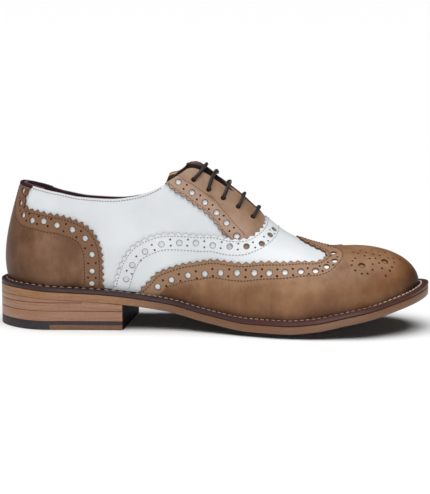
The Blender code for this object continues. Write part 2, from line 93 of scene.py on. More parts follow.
LAST_COLUMNS = ("station", "sole_in", "sole_out", "ledge", "tread", "camber", "flare_in", "flare_out",
                "rise", "shoulder", "shoulder_z", "crest", "crest_z")
LAST_ROWS = (
    (-56, 41.3, 41.3, 6.3, 23.6, 0.0, 5.5, 5.5, 19.8, 33.0, 78.0, 19.0, 120.0),
    (-28, 37.0, 37.0, 6.3, 23.3, 0.0, 5.6, 5.6, 19.3, 31.5, 78.0, 17.5, 121.0),
    (0, 33.5, 33.5, 6.3, 21.6, 0.0, 6.3, 6.3, 19.5, 31.0, 78.0, 16.0, 124.0),
    (40, 31.0, 34.0, 6.3, 19.2, 0.0, 8.5, 8.0, 22.0, 35.0, 79.0, 16.0, 124.0),
    (80, 30.0, 37.5, 6.3, 14.0, 0.8, 9.5, 6.0, 34.0, 25.0, 106.0, 0.0, 124.5),
    (110, 36.0, 42.0, 6.3, 7.4, 3.0, 8.5, 5.5, 40.0, 11.5, 113.2, 0.0, 113.2),
    (140, 45.5, 47.0, 6.3, 3.5, 4.6, 8.0, 6.0, 33.0, 17.5, 84.4, 0.0, 84.4),
    (165, 51.0, 50.0, 6.5, 3.4, 4.6, 7.0, 6.5, 20.0, 27.0, 64.3, 0.0, 64.3),
    (185, 52.0, 50.0, 6.5, 5.4, 3.6, 6.5, 6.5, 18.0, 30.0, 56.5, 0.0, 56.5),
    (196, 50.6, 48.4, 6.5, 7.4, 2.7, 6.3, 6.3, 17.5, 29.6, 54.5, 0.0, 54.5),
    (207, 49.0, 46.5, 6.5, 9.8, 2.0, 6.0, 6.0, 17.0, 29.0, 55.0, 0.0, 54.4),
    (231, 48.3, 46.0, 6.5, 15.2, 2.0, 5.0, 5.0, 15.5, 28.0, 56.0, 0.0, 54.4),
    (255, 52.8, 51.6, 8.0, 21.2, 2.0, 2.5, 2.5, 15.2, 28.0, 56.4, 0.0, 54.4),
    (279, 57.0, 57.0, 9.2, 24.6, 2.0, 0.0, 0.0, 13.8, 28.6, 56.6, 0.0, 54.4),
)
COLLAR_COLUMNS = ("station", "collar_in", "collar_out")
COLLAR_ROWS = (
    (-56, 101.2, 101.2), (-28, 100.4, 98.0), (0, 97.2, 92.0), (20, 93.7, 88.1), (42, 92.7, 87.0),
    (58, 94.4, 89.4), (70, 98.0, 94.2), (75, 100.6, 97.4), (78, 102.3, 104.6), (80, 103.4, 106.0),
    (84, 105.8, 106.8), (92, 111.0, 111.2), (96, 115.0, 115.0), (100, 126.0, 126.0),
)
THROAT_COLUMNS = ("station", "half_gap")
THROAT_ROWS = (
    (92, 10.4), (94, 9.1), (96, 8.4), (98, 7.9), (101, 7.6), (105, 7.9), (110, 8.6), (114, 9.8), (118, 10.0),
    (122, 9.7), (126, 8.7), (130, 6.9), (135, 4.0), (140, 3.3), (147.8, 0.0),
)

# Pattern edges, as station on the last and height, each from the lower edge upwards
COUNTER_EDGE = ((36.3, 28), (36.5, 49.6), (36, 56.6), (34, 63.5), (31, 69.3), (26.2, 74), (21.2, 76.9),
                (15.2, 79.1), (6, 81.6), (-5, 83), (-17.2, 84.5), (-24.5, 85.8), (-27.6, 88.6),
                (-28.2, 92.8), (-25.8, 96.1), (-23.5, 101))
VAMP_EDGE = ((41.5, 24), (42, 31.2), (45.2, 41.6), (49.5, 51.8), (55.5, 59.8), (62.2, 64.4), (72, 68.3),
             (86.2, 69.5), (104, 68.5), (122, 67), (132.5, 66), (138.2, 67), (142.5, 69.4), (145.3, 71.7),
             (147.3, 74.3))
FACING_EDGE = ((126, 61.5), (119.2, 69), (115.8, 73.4), (112.5, 77.3), (106, 83.2), (100.5, 86.7),
               (97, 89.2), (91.8, 92.9), (86.2, 96.1), (81.5, 99.9), (78.2, 102.7))
WING_EDGE = ((60, 26), (61.8, 30.6), (65.8, 34), (72, 41), (77.8, 44.1), (83.5, 46), (94.5, 49), (106, 51),
             (122.5, 51.4), (148.8, 51), (169.2, 50), (179.5, 49.5), (184.2, 49.3), (188.2, 50.2),
             (190.8, 51.8), (189.2, 53.7), (186, 54.8), (178.5, 57.7), (173.5, 59.9))
# Places of the large punched holes, as station and height
WING_HOLES = ((74.2, 31.5), (84.2, 36.4), (96.2, 40), (108.2, 41.5), (119.5, 42.7), (131, 43.2),
              (142.8, 43.5), (152.8, 43.4), (163.5, 43.5), (174.5, 43.7), (184.5, 43.9), (192, 46),
              (197.8, 48.9), (196.8, 52.5))
COUNTER_HOLES = ((27.6, 32.9), (28.2, 42.1), (28.5, 53.9), (23.8, 65.2), (14.8, 71), (3.8, 73.9), (-7, 76.5),
                 (-17.5, 76.7), (-28, 79.6), (-34.5, 87.5), (-35.5, 96.1))
VAMP_HOLES = ((52, 36.5), (56.5, 46.8), (65.5, 56.4), (77, 61.5), (89.5, 62.4), (101.2, 62.4), (113.2, 61.1),
              (125, 60.6), (136.5, 60.6), (146.8, 62), (152, 66.7), (154.2, 69.5))
FACING_HOLES = ((129.6, 67.4), (122.2, 76.1), (115.2, 82.9), (106.8, 89.6), (97.5, 96.2), (87.8, 103.4))
WING_PEAK = 169.5        # where the two wings meet on the ridge
VAMP_PEAK = 147.8        # where the vamp closes the throat

# Mesh density
CURVE_SAMPLES = 120
SHEET_SPACING = 2.6
RIM_APART = 0.45         # inner points keep this share of the spacing off a rim
HEEL_POINTS = 25         # fine stations round the heel
BODY_POINTS = 83         # along the foot
TOE_POINTS = 33          # and round the toe
RING_SIDES = 16
ROLL_SIDES = 12
SMALL_RING_SIDES = 8
BEAD_SIDES = 5
LARGE_HOLE = 1.0         # a hole of a larger radius counts as large
SEAM_SPACING = 1.5
STATION_APART = 0.4      # a fine station this near an end is left out
PATTERN_HALF = 125       # the scattered points reach this far to either side
PATTERN_END = 300        # and this far forward
HEEL_TURNS = 40          # rays of points round the heel
HEEL_OPEN = 20           # girth within which the heel has none
SHARP_ANGLE = math.radians(40)
WELD = 1e-6              # points this near, in metres, are made one
PATTERN_WELD = 1e-5      # the same in the flat pattern, in millimetres


def table(columns, rows):
    """Turn rows of numbers into named columns."""
    return {name: np.array([row[i] for row in rows], float) for i, name in enumerate(columns)}


LAST = table(LAST_COLUMNS, LAST_ROWS)
COLLAR = table(COLLAR_COLUMNS, COLLAR_ROWS)
THROAT = table(THROAT_COLUMNS, THROAT_ROWS)


# The last

def smooth(xs, ys, x):
    """Curve through the table's points with no overshoot (monotone cubic)."""
    width = np.diff(xs)
    rate = np.diff(ys) / width
    slope = np.zeros(len(xs))
    for i in range(1, len(xs) - 1):
        if rate[i - 1] * rate[i] > 0:
            before = 2 * width[i] + width[i - 1]
            after = width[i] + 2 * width[i - 1]
            slope[i] = (before + after) / (before / rate[i - 1] + after / rate[i])
    x = np.clip(np.asarray(x, float), xs[0], xs[-1])
    i = np.clip(np.searchsorted(xs, x) - 1, 0, len(width) - 1)
    t = (x - xs[i]) / width[i]
    ends = ys[i] * (1 + 2 * t) * (1 - t) ** 2 + ys[i + 1] * t * t * (3 - 2 * t)
    return ends + width[i] * t * (1 - t) * (slope[i] * (1 - t) - slope[i + 1] * t)


def last(name, station):
    return smooth(LAST["station"], LAST[name], station)


def by_side(name, station, side):
    return np.where(np.asarray(side) < 0, last(name + "_in", station), last(name + "_out", station))


def ray(station, side):
    """Where a row of the last starts in plan, and the way it points."""
    station = np.asarray(station, float)
    x = np.clip(station, 0.0, TOE_X)
    turn = np.full(station.shape, 90.0)
    turn = np.where(station < 0, 90.0 - 90.0 * station / HEEL_FAN, turn)
    turn = np.where(station > TOE_X, 90.0 - 90.0 * (station - TOE_X) / TOE_FAN, turn)
    turn = np.radians(turn)
    return x, TOE_SHIFT * x / TOE_X, np.cos(turn), side * np.sin(turn)


def in_plan(station, side, reach):
    x, y, along, across = ray(station, side)
    return x + along * reach, y + across * reach


def sole_reach(station, side):
    return by_side("sole", station, side)


def feather_reach(station, side):
    """Reach of the upper's lower edge, inside the welt's ledge."""
    return sole_reach(station, side) - last("ledge", station)


def along_row(name, station, side, reach):
    """A value of the table, changing evenly along a row from the spine to the sole's edge."""
    spine = last(name, np.clip(station, 0.0, TOE_X))
    return spine + (last(name, station) - spine) * reach / sole_reach(station, side)


def outsole_top(station, side, reach):
    return along_row("tread", station, side, reach) + OUTSOLE


def welt_bottom(station, side, reach):
    return outsole_top(station, side, reach) + GAP


def welt_top(station, side, reach):
    return welt_bottom(station, side, reach) + WELT


def tread_surface(station, side, reach):
    """Underside of the outsole: cambered under the forefoot, worn flat where it meets the floor."""
    share = reach / sole_reach(station, side)
    camber = along_row("camber", station, side, reach) * (1 - share ** 2)
    return np.maximum(0.0, along_row("tread", station, side, reach) - camber)


def section(station, side):
    """The wall's section at each station, from the crest down: reach, height and girth."""
    feather = feather_reach(station, side)
    seat = welt_top(station, side, feather) + GAP
    reaches = (feather, feather + by_side("flare", station, side), last("shoulder", station),
               last("crest", station))
    heights = (seat, seat + last("rise", station), last("shoulder_z", station), last("crest_z", station))
    t = np.linspace(1, 0, CURVE_SAMPLES)[:, None]
    weights = ((1 - t) ** 3, 3 * t * (1 - t) ** 2, 3 * t * t * (1 - t), t ** 3)
    reach = sum(w * p for w, p in zip(weights, reaches))
    height = sum(w * p for w, p in zip(weights, heights))
    steps = np.hypot(np.diff(reach, axis=0), np.diff(height, axis=0))
    return reach, height, np.vstack([np.zeros_like(steps[:1]), np.cumsum(steps, axis=0)])


def wall(station, side, down):
    """Points on the last at a girth down from the crest."""
    reach, height, girth = section(station, side)
    i = np.clip((girth < down).sum(axis=0) - 1, 0, CURVE_SAMPLES - 2)
    at = np.arange(len(i))
    share = (down - girth[i, at]) / (girth[i + 1, at] - girth[i, at])
    x, y = in_plan(station, side, reach[i, at] + (reach[i + 1, at] - reach[i, at]) * share)
    return np.stack([x, y, height[i, at] + (height[i + 1, at] - height[i, at]) * share], -1)


def full_girth(station, side):
    """Girth from the crest to the lower edge."""
    return section(np.atleast_1d(station), side)[2][-1]


def down_to_height(station, side, height):
    _, heights, girth = section(np.atleast_1d(station), side)
    wanted = np.atleast_1d(height)
    return np.array([np.interp(-z, -heights[:, i], girth[:, i]) for i, z in enumerate(wanted)])


def down_to_top(station, side):
    """Girth from the crest to the wall's top: the collar, the throat's edge, or the ridge itself."""
    station = np.atleast_1d(np.asarray(station, float))
    reach, height, girth = section(station, side)
    collar = smooth(COLLAR["station"], COLLAR["collar_in" if side < 0 else "collar_out"], station)
    gap = smooth(THROAT["station"], THROAT["half_gap"], station)
    half = CURVE_SAMPLES // 2
    at_collar = [np.interp(-z, -height[:, i], girth[:, i]) for i, z in enumerate(collar)]
    at_throat = [np.interp(g, reach[:half, i], girth[:half, i]) for i, g in enumerate(gap)]
    return np.maximum(at_collar, at_throat)


# The flat pattern

def to_pattern(station, side, down):
    x, _, along, across = ray(station, side)
    return np.stack([x + along * down, across * down], -1)


def from_pattern(plan):
    """Station, side and girth of pattern points."""
    x, y = plan[:, 0], plan[:, 1]
    side = np.where(y < 0, -1, 1)
    past = np.where(x < 0, x, np.maximum(x - TOE_X, 0.0))
    turned = np.arctan2(np.abs(past), np.abs(y)) / (math.pi / 2)
    station = np.where(x < 0, -HEEL_FAN * turned, np.minimum(x, TOE_X) + TOE_FAN * turned)
    return station, side, np.hypot(past, y)


def on_last(plan):
    return wall(*from_pattern(plan))


def slopes(plan):
    """How the last's point moves along the pattern's two axes."""
    step = 1.2
    moves = np.eye(2) * step
    return [(on_last(plan + move) - on_last(plan - move)) / (2 * step) for move in moves]


def raised(plan, lift):
    """Points standing off the last along its outward direction."""
    out = np.cross(*slopes(plan))
    out /= np.linalg.norm(out, axis=1, keepdims=True)
    return on_last(plan) + out * np.reshape(lift, (-1, 1)), out


def distance_along(path):
    """Real length along a pattern path, as it lies on the last."""
    return np.concatenate([[0], np.cumsum(np.linalg.norm(np.diff(on_last(path), axis=0), axis=1))])


def at_lengths(path, lengths):
    run = distance_along(path)
    return np.stack([np.interp(lengths, run, path[:, i]) for i in (0, 1)], -1)


def flow(points, steps=10):
    """A smooth curve through a few points."""
    points = np.asarray(points, float)
    ends = np.vstack([2 * points[0] - points[1], points, 2 * points[-1] - points[-2]])
    t = np.linspace(0, 1, steps, endpoint=False)[:, None]
    curve = [b + ((c - a) * t + (2 * a - 5 * b + 4 * c - d) * t ** 2 + (3 * b - a - 3 * c + d) * t ** 3) / 2
             for a, b, c, d in zip(ends, ends[1:], ends[2:], ends[3:])]
    return np.vstack([*curve, points[-1:]])


def shift(path, inset):
    """A pattern path moved sideways by a real distance, to the left of the way it runs."""
    along = np.gradient(path, axis=0)
    x, y = slopes(path)
    e, f, g = (x * x).sum(1), (x * y).sum(1), (y * y).sum(1)
    left = np.stack([-(f * along[:, 0] + g * along[:, 1]), e * along[:, 0] + f * along[:, 1]], -1)
    size = np.sqrt(e * left[:, 0] ** 2 + 2 * f * left[:, 0] * left[:, 1] + g * left[:, 1] ** 2)
    return path + left * (np.broadcast_to(inset, size.shape) / size)[:, None]


def ring(centre, radius, sides):
    """A pattern loop that is a circle on the last."""
    x, y = (v[0] for v in slopes(np.array([centre])))
    upper = np.linalg.cholesky(np.array([[x @ x, x @ y], [x @ y, y @ y]])).T
    turn = np.linspace(0, 2 * math.pi, sides, endpoint=False)
    return centre + np.linalg.solve(upper, radius * np.stack([np.cos(turn), np.sin(turn)])).T


def edge_path(edge, side):
    """A pattern edge, given by station and height, as a smooth path on one side."""
    station, height = np.array(edge, float).T
    return flow(to_pattern(station, side, down_to_height(station, side, height)))


def toothed(path, pitch, depth, left, round_tips=False):
    """A pinked edge: teeth with their tips on the path and their roots to the inner side."""
    run = distance_along(path)[-1]
    count = max(1, round(run / pitch))
    points = 8 if round_tips else 2
    phase = np.arange(count * points + 1) / points
    share = (1 - np.cos(2 * math.pi * phase)) / 2
    line = at_lengths(path, phase / count * run)
    return shift(line, (1 if left else -1) * depth * share)


def inside(points, loop):
    """Which points lie inside a closed loop."""
    x, y = points[:, :1], points[:, 1:]
    x0, y0 = loop.T
    x1, y1 = np.roll(loop, -1, axis=0).T
    crosses = (y0 > y) != (y1 > y)
    with np.errstate(divide="ignore", invalid="ignore"):
        left = x < (x1 - x0) * (y - y0) / (y1 - y0) + x0
    return (crosses & left).sum(axis=1) % 2 == 1


def nearest(points, others):
    """Distance from each point to the closest of the others."""
    gaps = [np.hypot(*(part[:, None] - others[None]).transpose(2, 0, 1)).min(axis=1)
            for part in np.array_split(points, max(1, len(points) // 500))]
    return np.concatenate(gaps)


def scatter(spacing):
    """Pattern points all over the upper, evenly spaced: a grid forward of the heel, rings round it."""
    across = np.arange(-PATTERN_HALF, PATTERN_HALF, spacing)
    along = np.arange(spacing / 2, PATTERN_END, spacing)
    forward = np.stack(np.meshgrid(along, across), -1).reshape(-1, 2)
    turns = np.radians(np.linspace(90, 270, HEEL_TURNS))
    girths = np.arange(HEEL_OPEN, PATTERN_HALF, spacing)
    rear = np.array([(g * math.cos(a), g * math.sin(a)) for g in girths for a in turns])
    return np.vstack([forward, rear])


# Meshes

def to_part(points):
    """Millimetres on the last to metres in the part's frame."""
    return (np.asarray(points) - (HEEL_REST_X, 0, 0)) * MM


def dress(piece, material, slot, *nodes):
    """Give a piece its finish and its ride on the shoe; its slot is not used."""
    if material:
        piece.data.materials.clear()
        piece.data.materials.append(material)
    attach(piece, "root")
    if nodes:
        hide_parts(*nodes)


def from_arrays(name, points, faces):
    data = bpy.data.meshes.new(name)
    data.from_pydata(to_part(points).tolist(), [], faces)
    data.validate()
    data.shade_smooth()
    data.set_sharp_from_angle(angle=SHARP_ANGLE)
    piece = bpy.data.objects.new(name, data)
    bpy.context.scene.collection.objects.link(piece)
    return piece


def paint(piece, name, values, where="POINT"):
    """Store a number at each point or face for the finishes to read."""
    piece.data.attributes.new(name, "FLOAT", where).data.foreach_set("value", np.asarray(values, np.float32))


RIM_CORNERS = 4          # a sheet's rim is made of quads, its faces of triangles


def sheet(name, outline, lift, thick, cutouts=(), punches=(), spacing=SHEET_SPACING, tone=None, cut=1.0):
    """A piece of leather cut flat, punched, and laid on the last with its real thickness.

    lift and thick are numbers, or functions of the pattern points; tone gives each point's shade,
    and cut says how much the bare edges show.
    """
    rings = [ring(centre, radius, RING_SIDES if radius > LARGE_HOLE else SMALL_RING_SIDES)
             for centre, radius in punches]
    holes = [*cutouts, *rings]
    loops = [outline, *holes]
    rim = np.vstack(loops)
    field = scatter(spacing)
    field = field[inside(field, outline)]
    for hole in holes:
        field = field[~inside(field, hole)]
    field = field[nearest(field, rim) > spacing * RIM_APART]
    edges = []
    first = 0
    for loop in loops:
        edges += [(first + i, first + (i + 1) % len(loop)) for i in range(len(loop))]
        first += len(loop)
    plan, _, faces, *_ = delaunay_2d_cdt(np.vstack([rim, field]).tolist(), edges, [], 0, PATTERN_WELD)
    plan = np.array([tuple(p) for p in plan])
    faces = np.array([tuple(f) for f in faces])
    middles = plan[faces].mean(axis=1)
    keep = inside(middles, outline)
    for hole in holes:
        keep &= ~inside(middles, hole)
    faces = faces[keep]
    used, faces = np.unique(faces, return_inverse=True)
    plan = plan[used]
    faces = faces.reshape(-1, 3)
    low = lift(plan) if callable(lift) else np.full(len(plan), lift)
    high = low + (thick(plan) if callable(thick) else thick)
    top, _ = raised(plan, high)
    bottom, _ = raised(plan, low)
    sides = np.vstack([faces[:, [0, 1]], faces[:, [1, 2]], faces[:, [2, 0]]])
    _, place, count = np.unique(np.sort(sides, axis=1), axis=0, return_inverse=True, return_counts=True)
    rims = sides[count[place.ravel()] == 1]
    n = len(plan)
    walls = np.stack([rims[:, 1], rims[:, 0], rims[:, 0] + n, rims[:, 1] + n], -1)
    piece = from_arrays(name, np.vstack([top, bottom]),
                        [*faces.tolist(), *(faces[:, ::-1] + n).tolist(), *walls.tolist()])
    paint(piece, "edge", [cut * (len(face.vertices) == RIM_CORNERS) for face in piece.data.polygons], "FACE")
    paint(piece, "tone", np.tile(tone(plan) if tone else np.zeros(n), 2))
    return piece


def loft(name, rows):
    """A grid laid over rows of points, welded where its edges meet and closed at open ends."""
    rows = np.asarray(rows)
    bpy.ops.object.select_all(action="DESELECT")
    bpy.ops.mesh.primitive_grid_add(x_subdivisions=rows.shape[1] - 1, y_subdivisions=rows.shape[0] - 1)
    piece = bpy.context.object
    piece.name = piece.data.name = name
    piece.data.vertices.foreach_set("co", to_part(rows).ravel())
    bpy.ops.object.mode_set(mode="EDIT")
    bpy.ops.mesh.select_all(action="SELECT")
    bpy.ops.mesh.remove_doubles(threshold=WELD)
    bpy.ops.mesh.dissolve_degenerate(threshold=WELD)
    bpy.ops.mesh.select_all(action="DESELECT")
    bpy.ops.mesh.select_non_manifold(extend=False, use_wire=False, use_multi_face=False, use_verts=False)
    bpy.ops.mesh.fill_holes(sides=0)
    bpy.ops.mesh.select_all(action="SELECT")
    bpy.ops.mesh.normals_make_consistent(inside=False)
    bpy.ops.object.mode_set(mode="OBJECT")
    bpy.ops.object.shade_smooth_by_angle(angle=SHARP_ANGLE)
    return piece


def tube(path, radius, sides):
    """Rings of points round a line."""
    along = np.gradient(path, axis=0)
    along /= np.linalg.norm(along, axis=1, keepdims=True)
    side = np.cross(along[0], (0, 0, 1.0))
    rings = []
    turn = np.linspace(0, 2 * math.pi, sides, endpoint=False)[:, None]
    for point, way, size in zip(path, along, np.broadcast_to(radius, len(path))):
        side = side - way * (side @ way)
        side /= np.linalg.norm(side)
        rings.append(point + size * (np.cos(turn) * side + np.sin(turn) * np.cross(way, side)))
    return np.array(rings)


def tube_faces(rows, sides):
    """Faces of a tube of rings, closed at both ends."""
    around = [(first + i, first + after, first + sides + after, first + sides + i)
              for first in range(0, (rows - 1) * sides, sides)
              for i, after in enumerate([*range(1, sides), 0])]
    return [*around, tuple(range(sides))[::-1], tuple(range((rows - 1) * sides, rows * sides))]


def threads(name, lines, pitch, length, radius):
    """A row of short stitches along each line, with their ends sunk into the leather."""
    sides = 6
    shares = np.array((-0.5, -0.32, 0.0, 0.32, 0.5)) * length
    widths = np.array((0.35, 0.9, 1.0, 0.9, 0.35)) * radius
    sinks = np.array((-0.9, 0.1, 0.45, 0.1, -0.9)) * radius
    turn = np.linspace(0, 2 * math.pi, sides, endpoint=False)
    points = []
    for line, out in lines:
        run = np.concatenate([[0], np.cumsum(np.linalg.norm(np.diff(line, axis=0), axis=1))])
        spots = np.arange(pitch / 2, run[-1] - pitch / 2, pitch)
        spots = spots[:, None] + shares
        place = np.stack([np.interp(spots, run, line[:, i]) for i in range(3)], -1)
        up = np.stack([np.interp(spots, run, out[:, i]) for i in range(3)], -1)
        way = place[:, -1:] - place[:, :1]
        across = np.cross(up, way)
        across /= np.linalg.norm(across, axis=-1, keepdims=True)
        place = place + up * sinks[:, None]
        spin = (np.cos(turn)[:, None] * across[:, :, None] + np.sin(turn)[:, None] * up[:, :, None])
        points.append(place[:, :, None] + spin * widths[:, None, None])
    points = np.vstack(points)
    count, rows = points.shape[:2]
    one = tube_faces(rows, sides)
    faces = [tuple(k * rows * sides + i for i in face) for k in range(count) for face in one]
    return from_arrays(name, points.reshape(-1, 3), faces)


# Finishes, with each pattern's scale as one over its size in metres

def linear(code):
    """sRGB hex to linear colour."""
    channels = [int(code[i:i + 2], 16) / 255 for i in (0, 2, 4)]
    return [c / 12.92 if c <= 0.04045 else ((c + 0.055) / 1.055) ** 2.4 for c in channels] + [1.0]


def node(tree, kind, links=None, stops=None, **settings):
    """Add a node, set it up, and join its inputs to values or to other nodes' outputs."""
    made = tree.nodes.new("ShaderNode" + kind)
    for name, value in settings.items():
        setattr(made, name, value)
    for name, value in (links or {}).items():
        if isinstance(value, bpy.types.NodeSocket):
            tree.links.new(value, made.inputs[name])
        else:
            made.inputs[name].default_value = value
    if stops:
        marks = made.color_ramp.elements
        while len(marks) < len(stops):
            marks.new(1.0)
        for mark, (place, code) in zip(marks, stops):
            mark.position = place
            mark.color = linear(code)
    return made


def finish(name):
    """An empty material and its node tree."""
    made = bpy.data.materials.new(name)
    made.use_nodes = True
    made.node_tree.nodes.clear()
    return made, made.node_tree


def surface(tree, **values):
    """The shader that ends a material. Keywords are its sockets, with _ for a space."""
    shader = node(tree, "BsdfPrincipled", {name.replace("_", " "): v for name, v in values.items()})
    node(tree, "OutputMaterial", {"Surface": shader.outputs["BSDF"]})


MIX_A, MIX_B, MIX_OUT = 6, 7, 2     # the colour sockets of a Mix node


def antiqued_calf(name, pale, body, deep, burnt, band):
    """Tan calf, hand-antiqued and polished: cloudy brushed colour, dark cut edges, a burnished end.

    Tones above 0 darken it to burnt and further, for burnish and for painted shade; tones below 0 lighten it
    to the band's colour.
    Grain and pores are drawn coarser than real ones, so that they show.
    """
    made, tree = finish(name)
    place = node(tree, "TexCoord").outputs["Object"]
    clouds = node(tree, "TexNoise", {"Vector": place, "Scale": 1 / 0.022, "Detail": 5.0, "Roughness": 0.6})
    drawn = node(tree, "Mapping", {"Vector": place, "Scale": (1 / 0.016, 1 / 0.016, 1 / 0.05)})
    brushed = node(tree, "TexNoise", {"Vector": drawn.outputs["Vector"], "Scale": 1.0, "Detail": 6.0,
                                      "Roughness": 0.65})
    both = node(tree, "Math", {0: clouds.outputs["Fac"], 1: brushed.outputs["Fac"]}, operation="ADD")
    half = node(tree, "MapRange", {"Value": both.outputs[0], "From Min": 0.7, "From Max": 1.3})
    cloudy = node(tree, "ValToRGB", {"Fac": half.outputs["Result"]},
                  stops=((0.0, deep), (0.5, body), (1.0, pale)))
    tone = node(tree, "Attribute", attribute_name="tone").outputs["Fac"]
    uneven = node(tree, "Math", {0: both.outputs[0], 1: 0.22, 2: -0.22}, operation="MULTIPLY_ADD")
    dark = node(tree, "Math", {0: tone, 1: uneven.outputs[0]}, operation="SUBTRACT")
    share = node(tree, "ValToRGB", {"Fac": dark.outputs[0]},
                 stops=((0.0, "000000"), (0.08, "000000"), (0.5, "a0a0a0"), (1.0, "ffffff")))
    shade = node(tree, "ValToRGB", {"Fac": dark.outputs[0]},
                 stops=((0.0, deep), (0.45, burnt), (0.8, "45210c"), (1.0, "2a1308")))
    burnished = node(tree, "Mix", {"Factor": share.outputs["Color"], MIX_A: cloudy.outputs["Color"],
                                   MIX_B: shade.outputs["Color"]}, data_type="RGBA")
    light = node(tree, "MapRange", {"Value": tone, "From Min": 0.0, "From Max": -1.0})
    paler = node(tree, "Mix", {"Factor": light.outputs["Result"], MIX_A: burnished.outputs[MIX_OUT],
                               MIX_B: linear(band)}, data_type="RGBA")
    edge = node(tree, "Attribute", attribute_name="edge").outputs["Fac"]
    rim = node(tree, "MapRange", {"Value": edge, "From Min": 0.45, "From Max": 1.0, "To Max": 0.75})
    colour = node(tree, "Mix", {"Factor": rim.outputs["Result"], MIX_A: paler.outputs[MIX_OUT],
                                MIX_B: linear("4a2e1c")}, data_type="RGBA").outputs[MIX_OUT]
    grain = node(tree, "TexVoronoi", {"Vector": place, "Scale": 1 / 0.0011}, feature="DISTANCE_TO_EDGE")
    pores = node(tree, "TexNoise", {"Vector": place, "Scale": 1 / 0.0006, "Detail": 3.0})
    skin = node(tree, "Math", {0: grain.outputs["Distance"], 1: pores.outputs["Fac"]}, operation="ADD")
    bump = node(tree, "Bump", {"Height": skin.outputs[0], "Strength": 0.10, "Distance": 0.0002})
    rough = node(tree, "MapRange", {"Value": brushed.outputs["Fac"], "To Min": 0.4, "To Max": 0.56})
    surface(tree, Base_Color=colour, Roughness=rough.outputs["Result"], Normal=bump.outputs["Normal"],
            IOR=1.35, Specular_IOR_Level=0.3, Coat_Weight=0.06, Coat_Roughness=0.35)
    return made


def white_calf(name):
    """White pigmented calf: even, cool white, a smooth film over pores that are drawn coarser."""
    made, tree = finish(name)
    place = node(tree, "TexCoord").outputs["Object"]
    clouds = node(tree, "TexNoise", {"Vector": place, "Scale": 1 / 0.03, "Detail": 4.0})
    colour = node(tree, "ValToRGB", {"Fac": clouds.outputs["Fac"]},
                  stops=((0.3, "dadee1"), (0.7, "e6eaec")))
    edge = node(tree, "Attribute", attribute_name="edge").outputs["Fac"]
    rim = node(tree, "MapRange", {"Value": edge, "From Min": 0.6, "From Max": 1.0, "To Max": 0.45})
    colour = node(tree, "Mix", {"Factor": rim.outputs["Result"], MIX_A: colour.outputs["Color"],
                                MIX_B: linear("8f8b83")}, data_type="RGBA").outputs[MIX_OUT]
    grain = node(tree, "TexVoronoi", {"Vector": place, "Scale": 1 / 0.0009}, feature="DISTANCE_TO_EDGE")
    bump = node(tree, "Bump", {"Height": grain.outputs["Distance"], "Strength": 0.06, "Distance": 0.0002})
    rough = node(tree, "MapRange", {"Value": clouds.outputs["Fac"], "To Min": 0.34, "To Max": 0.46})
    surface(tree, Base_Color=colour, Roughness=rough.outputs["Result"], Normal=bump.outputs["Normal"],
            IOR=1.47, Coat_Weight=0.12, Coat_Roughness=0.25)
    return made


def plain_leather(name, body, deep, roughness, cut=None):
    """Unpolished dyed leather, for lining, tongue and raw edges: matt, with a soft open grain.

    The grain is drawn coarser than the real one, so that it shows.
    cut is the colour of its undyed cut edges, and of the painted highlight that the tone lays beside them,
    where they show.
    """
    made, tree = finish(name)
    place = node(tree, "TexCoord").outputs["Object"]
    clouds = node(tree, "TexNoise", {"Vector": place, "Scale": 1 / 0.012, "Detail": 5.0})
    colour = node(tree, "ValToRGB", {"Fac": clouds.outputs["Fac"]},
                  stops=((0.3, deep), (0.7, body))).outputs["Color"]
    if cut:
        edge = node(tree, "Attribute", attribute_name="edge").outputs["Fac"]
        # the tone here is a painted highlight, on the tongue's crown
        worn = node(tree, "Attribute", attribute_name="tone").outputs["Fac"]
        rim = node(tree, "Math", {0: edge, 1: worn}, operation="MAXIMUM")
        colour = node(tree, "Mix", {"Factor": rim.outputs[0], MIX_A: colour, MIX_B: linear(cut)},
                      data_type="RGBA").outputs[MIX_OUT]
    grain = node(tree, "TexVoronoi", {"Vector": place, "Scale": 1 / 0.001}, feature="DISTANCE_TO_EDGE")
    bump = node(tree, "Bump", {"Height": grain.outputs["Distance"], "Strength": 0.2, "Distance": 0.0002})
    surface(tree, Base_Color=colour, Roughness=roughness, Normal=bump.outputs["Normal"], IOR=1.3,
            Specular_IOR_Level=0.3)
    return made


def edged_leather(name, pale, body, deep, layer_mm, fore):
    """Vegetable-tanned bottom leather, its cut edge waxed: level fibre lines and a low shine.

    fore is the colour that the edge takes towards the toe, and where that starts and is full.
    Fibre lines and specks are drawn coarser than real ones, so that they show.
    """
    made, tree = finish(name)
    place = node(tree, "TexCoord").outputs["Object"]
    lines = node(tree, "Mapping", {"Vector": place, "Scale": (1 / 0.03, 1 / 0.03, 1 / (layer_mm * MM))})
    fibre = node(tree, "TexNoise", {"Vector": lines.outputs["Vector"], "Scale": 1.0, "Detail": 6.0,
                                    "Roughness": 0.7})
    specks = node(tree, "TexNoise", {"Vector": place, "Scale": 1 / 0.0016, "Detail": 4.0})
    mixed = node(tree, "Math", {0: specks.outputs["Fac"], 1: 0.45, 2: fibre.outputs["Fac"]},
                 operation="MULTIPLY_ADD")
    colour = node(tree, "ValToRGB", {"Fac": mixed.outputs[0]},
                  stops=((0.45, deep), (0.72, body), (0.95, pale))).outputs["Color"]
    fore_colour, start, full = fore
    along = node(tree, "SeparateXYZ", {"Vector": place})
    share = node(tree, "MapRange", {"Value": along.outputs["X"], "From Min": start * MM,
                                    "From Max": full * MM, "To Max": 0.8})
    colour = node(tree, "Mix", {"Factor": share.outputs["Result"], MIX_A: colour,
                                MIX_B: linear(fore_colour)}, data_type="RGBA").outputs[MIX_OUT]
    bump = node(tree, "Bump", {"Height": mixed.outputs[0], "Strength": 0.25, "Distance": 0.0003})
    surface(tree, Base_Color=colour, Roughness=0.46, Normal=bump.outputs["Normal"], IOR=1.48,
            Coat_Weight=0.1, Coat_Roughness=0.3)
    return made


